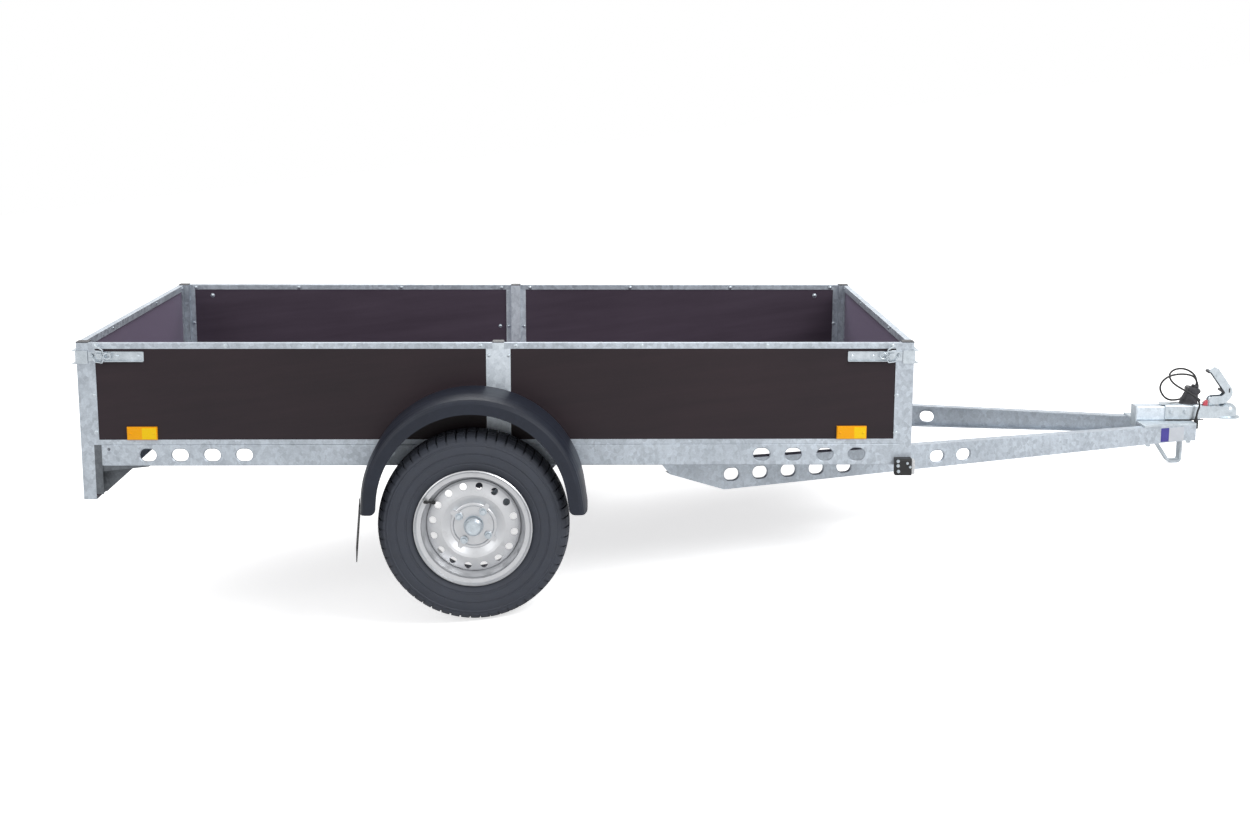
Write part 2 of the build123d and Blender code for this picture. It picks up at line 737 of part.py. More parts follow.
# ---------------------------------------------------------------- gates
gate_half = post_inner_y - gate_side_gap
gate_bottom = lip_top
gate_top = rail_top
strap_top = rail_top - latch_drop
strap_bottom = strap_top - latch_height
hinge_z = gate_bottom - hinge_knuckle_radius
knuckle_bore = hinge_pin_radius + running_clearance
gates = (                    # name, face of the box, direction into the box
    ("tailgate", box_rear, 1),
    ("headboard", box_front, -1),
)
gate_pieces = {}
hinge_axis_x = {}
for gate_name, face_x, inward in gates:
    outer_x = face_x - inward * gate_proud
    inner_x = outer_x + inward * gate_thickness
    gate_x = sorted((outer_x, inner_x))
    board_x = sorted(
        (outer_x + inward * (gate_thickness - board_thickness) / 2, inner_x - inward * (gate_thickness - board_thickness) / 2)
    )
    pin_x = face_x - inward * hinge_stand_off
    hinge_axis_x[gate_name] = pin_x

    with BuildPart() as gate_board:
        block(
            board_x,
            (-gate_half + rail_wall + board_play, gate_half - rail_wall - board_play),
            (gate_bottom + rail_wall, gate_top - rail_wall),
        )
    gate_pieces[gate_name + "_board"] = gate_board

    with BuildPart() as gate_frame:
        block(gate_x, (-gate_half, gate_half), (gate_bottom, gate_top))
        block(
            gate_x,
            (-gate_half + gate_frame_width, gate_half - gate_frame_width),
            (gate_bottom + gate_frame_width, gate_top - gate_frame_width),
            mode=Mode.SUBTRACT,
        )
        block(
            board_x,
            (-gate_half + rail_wall, gate_half - rail_wall),
            (gate_bottom + rail_wall, gate_top - rail_wall),
            mode=Mode.SUBTRACT,
        )
        # hinge leaves and knuckles
        leaf_x = sorted((outer_x, outer_x - inward * hinge_leaf_wall))
        for y in hinge_positions:
            knuckle_y = (y - hinge_knuckle_length / 2, y + hinge_knuckle_length / 2)
            block(leaf_x, knuckle_y, (hinge_z, gate_bottom + hinge_leaf_height))
        knuckle_plane = Plane(origin=(pin_x, 0, hinge_z), x_dir=(1, 0, 0), z_dir=(0, 1, 0))
        for y in hinge_positions:
            with BuildSketch(knuckle_plane.offset(y - hinge_knuckle_length / 2)):
                Circle(hinge_knuckle_radius)
            extrude(amount=hinge_knuckle_length)
        for y in hinge_positions:
            with BuildSketch(knuckle_plane.offset(y - hinge_knuckle_length)):
                Circle(knuckle_bore)
            extrude(amount=2 * hinge_knuckle_length, mode=Mode.SUBTRACT)
    gate_pieces[gate_name + "_frame"] = gate_frame

    with BuildPart() as gate_straps:
        strap_x = sorted((outer_x, outer_x - inward * latch_wall))
        strap_side_y = half_width + latch_gap
        block(strap_x, (-strap_side_y - latch_wall, -gate_half + latch_reach), (strap_bottom, strap_top))
        wrap_x = sorted((outer_x - inward * latch_wall, face_x + inward * (post_length - latch_wall)))
        block(wrap_x, (-strap_side_y - latch_wall, -strap_side_y), (strap_bottom, strap_top))
        ear_x = sorted((outer_x, outer_x - inward * (latch_wall + latch_ear)))
        for ear_z in (strap_bottom, strap_top - latch_wall):
            block(ear_x, (-strap_side_y - latch_wall, -gate_half + latch_reach), (ear_z, ear_z + latch_wall))
        mirror(about=Plane.XZ)
    gate_pieces[gate_name + "_straps"] = gate_straps

with BuildPart() as hinge_pins:
    for gate_name, face_x, inward in gates:
        pin_x = hinge_axis_x[gate_name]
        knuckle_plane = Plane(origin=(pin_x, 0, hinge_z), x_dir=(1, 0, 0), z_dir=(0, 1, 0))
        fixed_length = hinge_knuckle_length / 2
        half_hinge = hinge_knuckle_length / 2 + hinge_gap + fixed_length
        leaf_x = sorted((face_x, face_x - inward * hinge_leaf_wall))
        for y in hinge_positions:
            with BuildSketch(knuckle_plane.offset(y - half_hinge)):
                Circle(hinge_pin_radius)
            extrude(amount=2 * half_hinge)
            for start in (y - half_hinge, y + half_hinge - fixed_length):
                with BuildSketch(knuckle_plane.offset(start)):
                    Circle(hinge_knuckle_radius)
                extrude(amount=fixed_length)
                block(leaf_x, (start, start + fixed_length), (deck_z - hinge_leaf_height, hinge_z))
            block(
                leaf_x,
                (y - half_hinge, y + half_hinge),
                (deck_z - hinge_leaf_height, hinge_z - hinge_knuckle_radius - hinge_gap),
            )

# ---------------------------------------------------------------- latches on the sides
strip_z = strap_bottom + (latch_height - strip_height) / 2 + strip_lift
with BuildPart() as latch_strips:
    for face_x, inward in ((box_rear, 1), (box_front, -1)):
        start_x = face_x + inward * (post_length + post_flange + board_play)
        strip_x = sorted((start_x, start_x + inward * strip_length))
        block(strip_x, (-half_width, -board_outer_y), (strip_z, strip_z + strip_height))
        for z in (strip_z, strip_z + strip_height - latch_wall):
            block(strip_x, (-half_width - strip_fold, -half_width), (z, z + latch_wall))
    mirror(about=Plane.XZ)

with BuildPart() as latch_catches:
    for face_x, inward in ((box_rear, 1), (box_front, -1)):
        start_x = face_x + inward * post_length
        catch_x = sorted((start_x, start_x + inward * catch_length))
        block(
            catch_x,
            (-half_width - latch_wall, -half_width),
            (strip_z + latch_wall, strip_z + strip_height - latch_wall),
        )
    mirror(about=Plane.XZ)

# ---------------------------------------------------------------- light board and lamps
board_z = (deck_z - light_board_height, deck_z)
board_x = (box_rear, box_rear + light_board_depth)
lamp_z = deck_z - lamp_drop
lamp_centres = (-lamp_centre_y, lamp_centre_y)
triangle_centres = (-triangle_centre_y, triangle_centre_y)
with BuildPart() as light_board:
    block(board_x, (-half_width, half_width), board_z)
    block(
        (board_x[0] + light_board_wall, board_x[1]),
        (-half_width + light_board_wall, half_width - light_board_wall),
        (board_z[0] + light_board_wall, board_z[1] - light_board_wall),
        mode=Mode.SUBTRACT,
    )
    for y in lamp_centres:
        block(
            (board_x[0], board_x[0] + light_board_wall),
            (y - lamp_length / 2, y + lamp_length / 2),
            (lamp_z - lamp_height / 2, lamp_z + lamp_height / 2),
            mode=Mode.SUBTRACT,
        )

with BuildPart() as tail_lamps:
    for y in lamp_centres:
        block(
            (board_x[0] - lamp_proud, board_x[1] - light_board_wall),
            (y - lamp_length / 2, y + lamp_length / 2),
            (lamp_z - lamp_height / 2, lamp_z + lamp_height / 2),
        )
    fillet(edges().group_by(Axis.X)[0], lamp_proud / 2)

with BuildPart() as rear_triangles:
    with BuildSketch(Plane.YZ.offset(board_x[0] - triangle_thickness)):
        with Locations(*[(y, lamp_z) for y in triangle_centres]):
            RegularPolygon(triangle_side / 3**0.5, 3, rotation=30)
    extrude(amount=triangle_thickness)

with BuildPart() as board_gussets:
    block(
        (board_x[1], beam_rear),
        (-half_width, -half_width + beam_wall),
        (beam_bottom - gusset_drop, deck_z),
    )
    with BuildSketch(Plane.XZ.offset(post_inner_y - beam_wall)):
        with BuildLine():
            Polyline(
                (board_x[1], beam_bottom),
                (beam_rear + gusset_length, beam_bottom),
                (beam_rear, beam_bottom - gusset_drop),
                (board_x[1], beam_bottom - gusset_drop),
                close=True,
            )
        make_face()
    extrude(amount=gusset_wall)
    # flange under the side beam, with its tapered lip
    block(
        (beam_rear, beam_rear + gusset_flange_length),
        (-half_width + beam_bend, -post_inner_y),
        (beam_bottom - gusset_wall, beam_bottom),
    )
    with BuildSketch(Plane.XZ.offset(half_width - beam_bend - gusset_wall)):
        with BuildLine():
            Polyline(
                (beam_rear, beam_bottom - gusset_wall),
                (beam_rear + gusset_flange_length, beam_bottom - gusset_wall),
                (beam_rear, beam_bottom - gusset_lip),
                close=True,
            )
        make_face()
    extrude(amount=gusset_wall)
    mirror(about=Plane.XZ)

with BuildPart() as reflectors:
    for start in (box_rear + reflector_inset_rear, box_front - reflector_inset_front - reflector_length):
        block(
            (start, start + reflector_length),
            (-board_outer_y - reflector_thickness, -board_outer_y),
            (lip_top, lip_top + reflector_height),
        )
    fillet(edges().group_by(Axis.Y)[0], reflector_thickness / 4)
    mirror(about=Plane.XZ)

marker_x = box_front - marker_length - marker_setback
marker_z = beam_bottom - front_post_drop + marker_rise
with BuildPart() as marker_bases:
    block(
        (marker_x, marker_x + marker_length),
        (-half_width - marker_depth, -half_width),
        (marker_z, marker_z + marker_height),
    )
    fillet(edges().group_by(Axis.Y)[0], marker_round)
    mirror(about=Plane.XZ)

with BuildPart() as marker_lamps:
    block(
        (marker_x + marker_length, marker_x + marker_length + marker_lens),
        (-half_width - marker_depth + marker_lens_edge, -half_width - marker_lens_edge),
        (marker_z + marker_lens_edge, marker_z + marker_height - marker_lens_edge),
    )
    fillet(edges().group_by(Axis.X)[-1], marker_lens_round)
    mirror(about=Plane.XZ)

# ---------------------------------------------------------------- drawbar
beam_slope = tan(radians(drawbar_angle))
beam_cos = cos(radians(drawbar_angle))
beam_run = (drawbar_bend_x - drawbar_rear_x) / beam_cos
drawbar_rear_half_width = drawbar_nose_half_width + beam_slope * (drawbar_bend_x - drawbar_rear_x)
deepest_run = (drawbar_deepest_x - drawbar_rear_x) / beam_cos
top_slope = (drawbar_top_front - drawbar_top_rear) / beam_run
front_bottom = drawbar_top_front - drawbar_height_front
deep_bottom = drawbar_top_rear - drawbar_height_rear
bend_run = drawbar_flange * beam_slope + drawbar_wall
tail_z = drawbar_top_rear - drawbar_tail_drop
tail_run = drawbar_tail / beam_cos
# the right beam's web: local x runs forward along the beam, local y is up
web_plane = Plane(
    origin=(drawbar_rear_x, -drawbar_rear_half_width, 0),
    x_dir=(beam_cos, sin(radians(drawbar_angle)), 0),
    z_dir=(sin(radians(drawbar_angle)), -beam_cos, 0),
)
drawbar_holes = [            # distance along the beam, height
    (start + i * drawbar_hole_pitch, z)
    for start, z, count in (
        (drawbar_hole_rear_start, drawbar_hole_z, drawbar_holes_rear),
        (drawbar_hole_front_start, drawbar_hole_front_z, drawbar_holes_front),
    )
    for i in range(count)
]
with BuildPart() as drawbar_beams:
    with BuildSketch(web_plane):
        with BuildLine():
            Polyline(
                (0, drawbar_top_rear),
                (beam_run, drawbar_top_front),
                (beam_run + bend_run, drawbar_top_front),
                (beam_run + bend_run, front_bottom),
                (beam_run, front_bottom),
                (deepest_run, deep_bottom),
                (tail_run, tail_z),
                (0, drawbar_top_rear - drawbar_end_height),
                close=True,
            )
        make_face()
    extrude(amount=-drawbar_flange)
    with BuildSketch(web_plane.offset(-drawbar_wall)):
        with BuildLine():
            Polyline(
                (-drawbar_flange, drawbar_top_rear - drawbar_wall),
                (0, drawbar_top_rear - drawbar_wall),
                (beam_run, drawbar_top_front - drawbar_wall),
                (beam_run + 2 * bend_run, drawbar_top_front - drawbar_wall),
                (beam_run + 2 * bend_run, front_bottom + drawbar_wall),
                (beam_run, front_bottom + drawbar_wall),
                (deepest_run, deep_bottom + drawbar_wall),
                (tail_run, tail_z + drawbar_wall),
                (-drawbar_flange, tail_z + drawbar_wall),
                close=True,
            )
        make_face()
    extrude(amount=-drawbar_flange, mode=Mode.SUBTRACT)
    for widening, depth, taper, mode in hole_steps(drawbar_wall):
        with BuildSketch(web_plane):
            with Locations(*drawbar_holes):
                SlotOverall(beam_hole_length + widening, beam_hole_height + widening)
        extrude(amount=-depth, taper=taper, mode=mode)
    split(bisect_by=Plane.YZ.offset(drawbar_bend_x), keep=Keep.BOTTOM)
    with BuildSketch(Plane.YZ.offset(drawbar_bend_x)):
        with Locations((-drawbar_nose_half_width, front_bottom)):
            channel_section(drawbar_flange, drawbar_height_front, drawbar_wall)
    extrude(amount=nose_length)
    mirror(about=Plane.XZ)

with BuildPart() as drawbar_packers:
    for x in packer_places:
        web_y = drawbar_rear_half_width - beam_slope * (x - drawbar_rear_x)
        # highest corner of the flange under the packer
        seat_run = (x + packer_width / 2 - drawbar_rear_x) / beam_cos + packer_depth * beam_slope
        seat_z = drawbar_top_rear + top_slope * seat_run
        block(
            (x - packer_width / 2, x + packer_width / 2),
            (-web_y + packer_width / 2, -web_y + packer_depth),
            (seat_z, beam_bottom),
        )
    mirror(about=Plane.XZ)

nose_x = drawbar_bend_x + nose_length
plate_z = (drawbar_top_front, drawbar_top_front + nose_plate_thickness)
plate_rear_y = drawbar_rear_half_width - beam_slope * (nose_plate_start_x - drawbar_rear_x)
tube_half = tube_size / 2
tube_z = (plate_z[1], plate_z[1] + tube_size)
with BuildPart() as nose_plate:
    with BuildSketch(Plane.XY.offset(plate_z[0])):
        with BuildLine():
            Polyline(
                (nose_plate_start_x, -plate_rear_y),
                (drawbar_bend_x, -drawbar_nose_half_width),
                (nose_x, -drawbar_nose_half_width),
                (nose_x, drawbar_nose_half_width),
                (drawbar_bend_x, drawbar_nose_half_width),
                (nose_plate_start_x, plate_rear_y),
                close=True,
            )
        make_face()
    extrude(amount=nose_plate_thickness)
    block(
        (nose_plate_start_x - end_plate_wall, nose_plate_start_x),
        (-tube_half - end_plate_margin, tube_half + end_plate_margin),
        (plate_z[0] - end_plate_drop, tube_z[1]),
    )

with BuildPart() as drawtube:
    with BuildSketch(Plane.YZ.offset(nose_plate_start_x)):
        with Locations((0, tube_z[0] + tube_half)):
            RectangleRounded(tube_size, tube_size, tube_wall * 1.5)
            RectangleRounded(tube_size - 2 * tube_wall, tube_size - 2 * tube_wall, tube_wall / 2, mode=Mode.SUBTRACT)
    extrude(amount=coupling_start_x + tube_overlap - nose_plate_start_x)

# ---------------------------------------------------------------- coupling
body_half = tube_half + soft_gap + coupling_wall
body_top = tube_z[1] + soft_gap + coupling_wall
body_bottom = tube_z[0] + coupling_rise
neck_x = coupling_start_x + coupling_body_length
socket_mouth = body_bottom + socket_rise
socket_radius = ball_radius + ball_clearance
ball_z = socket_mouth + socket_length
head_top = socket_mouth + head_rise
head_centre_z = head_top - head_radius
handle_x = coupling_centre_x - handle_setback
handle_z = body_top + handle_rise
with BuildPart() as coupling_body:
    block(
        (coupling_start_x, neck_x),
        (-body_half, body_half),
        (body_bottom, body_top),
    )
    fillet(edges().filter_by(Axis.X).group_by(Axis.Z)[-1], coupling_wall * 1.5)
    top_plate_x = coupling_start_x - top_plate_overhang
    block(
        (top_plate_x, top_plate_x + top_plate_length),
        (-top_plate_width / 2, top_plate_width / 2),
        (body_top, body_top + top_plate_wall),
    )
    with BuildSketch(Plane.XY.offset(socket_mouth)):
        with BuildLine():
            Polyline(
                (neck_x - coupling_wall, -body_half + coupling_wall),
                (coupling_centre_x, -head_radius),
                (coupling_centre_x, head_radius),
                (neck_x - coupling_wall, body_half - coupling_wall),
                close=True,
            )
        make_face()
    extrude(amount=body_top - socket_mouth - coupling_wall)
    with BuildSketch(Plane.XZ):
        with BuildLine():
            dome = ThreePointArc(
                (coupling_centre_x + head_radius, head_centre_z + head_side_rise),
                (coupling_centre_x + head_shoulder[0], head_top - head_shoulder[1]),
                (coupling_centre_x, head_top),
            )
            Polyline(
                dome @ 1,
                (coupling_centre_x, socket_mouth),
                (coupling_centre_x + lip_radius, socket_mouth),
                (coupling_centre_x + lip_radius, socket_mouth + lip_thickness),
                (coupling_centre_x + head_radius, socket_mouth + lip_thickness + lip_slope),
                dome @ 0,
            )
        make_face()
    revolve(axis=Axis((coupling_centre_x, 0, 0), (0, 0, 1)))
    # lug that carries the handle's pin
    with BuildSketch(Plane.XZ.offset(-lug_width / 2)):
        with Locations((handle_x, handle_z)):
            Circle(lug_radius)
        with Locations((handle_x, body_top - 2 * coupling_wall)):
            Rectangle(2 * lug_radius, handle_rise + 2 * coupling_wall, align=(Align.CENTER, Align.MIN))
    extrude(amount=lug_width)
    with BuildSketch(Plane.XZ.offset(-lug_width / 2)):
        with Locations((handle_x, handle_z)):
            Circle(handle_pin_radius + running_clearance)
    extrude(amount=lug_width, mode=Mode.SUBTRACT)
    # open underside: the tube's seat, the hollow neck and the ball socket
    block(
        (coupling_start_x, neck_x - coupling_wall),
        (-body_half + coupling_wall, body_half - coupling_wall),
        (body_bottom, body_top - coupling_wall),
        mode=Mode.SUBTRACT,
    )
    with BuildSketch(Plane.XY.offset(socket_mouth)):
        with Locations((coupling_centre_x, 0)):
            Circle(socket_radius)
    extrude(amount=ball_z - socket_mouth, mode=Mode.SUBTRACT)
    with Locations((coupling_centre_x, 0, ball_z)):
        Sphere(socket_radius, mode=Mode.SUBTRACT)

handle_line = [Vector(handle_x + ahead, handle_z + above) for ahead, above in handle_route]
channel_line = shifted(handle_line, handle_wall)
channel_line[0] -= Vector(handle_depth, 0)
with BuildPart() as coupling_handle:
    with BuildSketch(Plane.XZ.offset(-handle_width / 2)):
        with BuildLine():
            FilletPolyline(*handle_line, radius=handle_bend)
        trace(line_width=handle_depth)
        with Locations(handle_line[0]):
            Circle(lug_radius + handle_wall)
            Polygon(*handle_tip, align=None)
    extrude(amount=handle_width)
    with BuildSketch(Plane.XZ.offset(-handle_width / 2 + handle_wall)):
        with BuildLine():
            FilletPolyline(*channel_line, radius=handle_bend)
        trace(line_width=handle_depth)
        with Locations(handle_line[0]):
            Circle(handle_depth / 2 + handle_wall)
        with Locations(handle_line[0] - Vector(0, handle_wall)):
            Polygon(*handle_tip, align=None)
    extrude(amount=handle_width - 2 * handle_wall, mode=Mode.SUBTRACT)
    with BuildSketch(Plane.XZ.offset(-handle_width / 2)):
        with Locations(handle_line[0]):
            Circle(handle_pin_radius)
    extrude(amount=handle_width)

# ---------------------------------------------------------------- rest foot
foot_middle = foot_drop + foot_bar / 2
foot_top = plate_z[0]
with BuildPart() as rest_foot:
    with BuildSketch(Plane.XZ.offset(-foot_width / 2)):
        with BuildLine():
            FilletPolyline(
                (foot_kink_x, foot_top),
                (foot_kink_x, foot_kink_z),
                (foot_front_x - foot_flat - foot_bar / 2, foot_middle),
                (foot_front_x - foot_bar / 2, foot_middle),
                (foot_front_x - foot_bar / 2, foot_top),
                radius=foot_bend + foot_bar / 2,
            )
        trace(line_width=foot_bar)
    extrude(amount=foot_width)

# ---------------------------------------------------------------- lighting cable and plug
cable_radius = cable_diameter / 2
gland_x = nose_x + gland_radius + soft_gap
gland_y = -50.0
gland_top = plate_z[1]
plug_base = Vector(coupling_start_x + plug_place, 0, body_top + top_plate_wall + soft_gap)
plug_neck = plug_base + Vector(plug_neck_place, 0, plug_neck_height)
cable_route = [              # from the gland up over the plug, twice round, and down into it
    Vector(gland_x, gland_y, gland_top),
    Vector(gland_x, gland_y, 486),
    Vector(2523, -52, 516),
    Vector(2509, -49, 541),
    Vector(2483, -42, 559),
    Vector(2452, -29, 574),
    Vector(2429, -9, 591),
    Vector(2424, 12, 613),
    Vector(2443, 26, 629),
    Vector(2475, 34, 634),
    Vector(2508, 41, 624),
    Vector(2534, 48, 602),
    Vector(2541, 51, 570),
    Vector(2528, 50, 541),
    Vector(2499, 47, 523),
    Vector(2462, 34, 518),
    Vector(2427, 8, 523),
    Vector(2399, -12, 542),
    Vector(2383, -20, 571),
    Vector(2392, -21, 598),
    Vector(2418, -16, 614),
    Vector(2446, -10, 619),
    Vector(2478, -5, 619),
    Vector(2507, -2, 612),
    Vector(2519, 0, 599),
    plug_neck + Vector(0, 0, 10),
    plug_neck,
]


def corner_radii(points):
    """Largest easy bend at each corner of a route."""
    radii = []
    for before, corner, after in zip(points, points[1:], points[2:]):
        run_in = corner - before
        run_out = after - corner
        turn = run_in.get_angle(run_out)
        radii.append(0.45 * min(run_in.length, run_out.length) / tan(radians(turn) / 2))
    return radii


cable_radii = corner_radii(cable_route)
print("cable bend radii", [round(radius, 1) for radius in cable_radii])
with BuildPart() as cable:
    with BuildLine() as cable_line:
        FilletPolyline(*cable_route, radius=cable_radii)
    with BuildSketch(Plane(origin=cable_route[0], z_dir=cable_line.line % 0)):
        Circle(cable_radius)
    sweep()
cable_length = sum(edge.length for edge in cable_line.edges())
cable_section = pi * cable_radius**2
print(f"cable length {cable_length:.1f}, volume ratio {cable.part.volume / cable_section / cable_length:.4f}")

with BuildPart() as cable_gland:
    with BuildSketch(Plane.XY.offset(gland_top - gland_length)):
        with Locations((gland_x, gland_y)):
            Circle(gland_radius)
    extrude(amount=gland_length)

# local x is the radius, local y runs up the leaning axis
plug_plane = Plane(origin=plug_base, x_dir=(1, 0, 0), z_dir=(0, -1, 0)).rotated((0, plug_lean, 0))
with BuildPart() as plug:
    with BuildSketch(plug_plane):
        with BuildLine():
            Polyline(
                (0, plug_profile[0][0]),
                *[(radius, height) for height, radius in plug_profile],
                (0, plug_profile[-1][0]),
                close=True,
            )
        make_face()
    revolve(axis=Axis(plug_base, plug_plane.y_dir))
    split(bisect_by=Plane.XY.offset(plug_base.Z), keep=Keep.TOP)
    with BuildSketch(Plane.XY.offset(plug_neck.Z - plug_neck_length)):
        with Locations((plug_neck.X, 0)):
            Circle(plug_neck_radius)
    extrude(amount=plug_neck_length)

# ---------------------------------------------------------------- parking slope
foot_corner = foot_bend + foot_bar
corner_x = foot_front_x - foot_corner
corner_rise = foot_drop + foot_corner - wheel_radius
slope = degrees(
    atan2(corner_rise, corner_x)
    + asin((wheel_radius - foot_corner) / hypot(corner_x, corner_rise))
)
lean = Location((0, 0, wheel_radius)) * Location((0, 0, 0), (0, slope, 0)) * Location((0, 0, -wheel_radius))

pieces = {
    "side_beams": side_beams,
    "cross_members": cross_members,
    "floor_panel": floor_panel,
    "corner_posts": corner_posts,
    "mid_posts": mid_posts,
    "post_caps": post_caps,
    "side_boards": side_boards,
    "top_rails": top_rails,
    "lip_rails": lip_rails,
    "hinge_pins": hinge_pins,
    "latch_strips": latch_strips,
    "latch_catches": latch_catches,
    "light_board": light_board,
    "board_gussets": board_gussets,
    "tail_lamps": tail_lamps,
    "rear_triangles": rear_triangles,
    "reflectors": reflectors,
    "marker_bases": marker_bases,
    "marker_lamps": marker_lamps,
    "axle_tube": axle_tube,
    "axle_brackets": axle_brackets,
    "swing_arms": swing_arms,
    "mudguards": mudguards,
    "guard_brackets": guard_brackets,
    "mud_flaps": mud_flaps,
    "drawbar_beams": drawbar_beams,
    "drawbar_packers": drawbar_packers,
    "nose_plate": nose_plate,
    "drawtube": drawtube,
    "coupling_body": coupling_body,
    "coupling_handle": coupling_handle,
    "rest_foot": rest_foot,
    "cable_gland": cable_gland,
    "cable": cable,
    "plug": plug,
    **wheel_pieces,
    **gate_pieces,
}
cord_pieces = ("cable", "plug")

leaned = {name: piece.part.moved(lean) for name, piece in pieces.items()}
boxes = [shape.bounding_box() for name, shape in leaned.items() if name not in cord_pieces]
middle_x = (min(box.min.X for box in boxes) + max(box.max.X for box in boxes)) / 2
lowest_z = min(box.min.Z for box in boxes)
parking = Location((-middle_x, 0, -lowest_z)) * lean
print(f"slope {slope:.3f} degrees, middle {middle_x:.2f}, lowest {lowest_z:.3f}")

for name, piece in pieces.items():
    with BuildPart() as parked:
        add(piece.part.moved(parking))
    parked.part.label = name
    export_step(parked.part, f"parts/{name}.step")
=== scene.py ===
import json
import math

import bmesh
import bpy
from mathutils import Matrix, Vector

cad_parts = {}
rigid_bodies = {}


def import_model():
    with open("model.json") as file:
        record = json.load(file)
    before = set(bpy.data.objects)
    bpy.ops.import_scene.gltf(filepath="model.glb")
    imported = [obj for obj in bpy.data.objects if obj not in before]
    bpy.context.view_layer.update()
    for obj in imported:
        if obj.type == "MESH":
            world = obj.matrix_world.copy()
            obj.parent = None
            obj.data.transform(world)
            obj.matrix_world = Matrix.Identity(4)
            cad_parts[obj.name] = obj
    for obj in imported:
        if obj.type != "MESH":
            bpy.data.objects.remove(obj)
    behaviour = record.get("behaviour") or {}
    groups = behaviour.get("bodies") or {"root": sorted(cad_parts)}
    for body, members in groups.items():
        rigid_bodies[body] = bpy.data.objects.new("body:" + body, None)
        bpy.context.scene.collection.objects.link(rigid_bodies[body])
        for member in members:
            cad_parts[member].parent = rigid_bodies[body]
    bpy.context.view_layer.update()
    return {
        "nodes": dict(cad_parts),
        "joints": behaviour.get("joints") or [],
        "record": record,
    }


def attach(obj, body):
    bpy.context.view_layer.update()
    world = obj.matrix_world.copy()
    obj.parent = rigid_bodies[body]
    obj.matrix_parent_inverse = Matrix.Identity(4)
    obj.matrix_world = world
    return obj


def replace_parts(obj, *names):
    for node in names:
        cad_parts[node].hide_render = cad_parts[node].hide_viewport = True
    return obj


for leftover in list(bpy.data.objects):
    bpy.data.objects.remove(leftover)
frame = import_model()

# ---------------------------------------------------------------- the level trailer
# The parked trailer leans nose down about its axle. Every piece below is placed on the trailer
# as it stands level: +X forward, +Y to its left, +Z up, the ground under the axle as origin.
joints = {joint["name"]: joint for joint in frame["joints"]}
mounts = {mount["name"]: mount for mount in frame["record"]["mounts"]}
axle = Vector(joints["wheel_right_turn"]["pos_m"])
axle.y = 0
socket_axis = Vector(mounts["coupling_socket"]["axis"])
slope = math.atan2(-socket_axis.x, -socket_axis.z)
lean = (
    Matrix.Translation(axle)
    @ Matrix.Rotation(slope, 4, "Y")
    @ Matrix.Translation((0, 0, -axle.z))
)
upright = lean.inverted()


def level_box(name):
    """Lowest and highest corner of a CAD node on the level trailer."""
    points = [upright @ vertex.co for vertex in frame["nodes"][name].data.vertices]
    low = Vector([min(point[i] for point in points) for i in range(3)])
    high = Vector([max(point[i] for point in points) for i in range(3)])
    return low, high


# ---------------------------------------------------------------- materials
class Wire:
    """A value in a material's nodes. Arithmetic on it adds Math nodes."""

    def __init__(self, finish, socket):
        self.finish = finish
        self.socket = socket

    def maths(self, operation, *values):
        return self.finish.maths(operation, *values)

    def __add__(self, other):
        return self.maths("ADD", self, other)

    def __radd__(self, other):
        return self.maths("ADD", other, self)

    def __sub__(self, other):
        return self.maths("SUBTRACT", self, other)

    def __rsub__(self, other):
        return self.maths("SUBTRACT", other, self)

    def __mul__(self, other):
        return self.maths("MULTIPLY", self, other)

    def __rmul__(self, other):
        return self.maths("MULTIPLY", other, self)

    def __truediv__(self, other):
        return self.maths("DIVIDE", self, other)

    def __pow__(self, other):
        return self.maths("POWER", self, other)


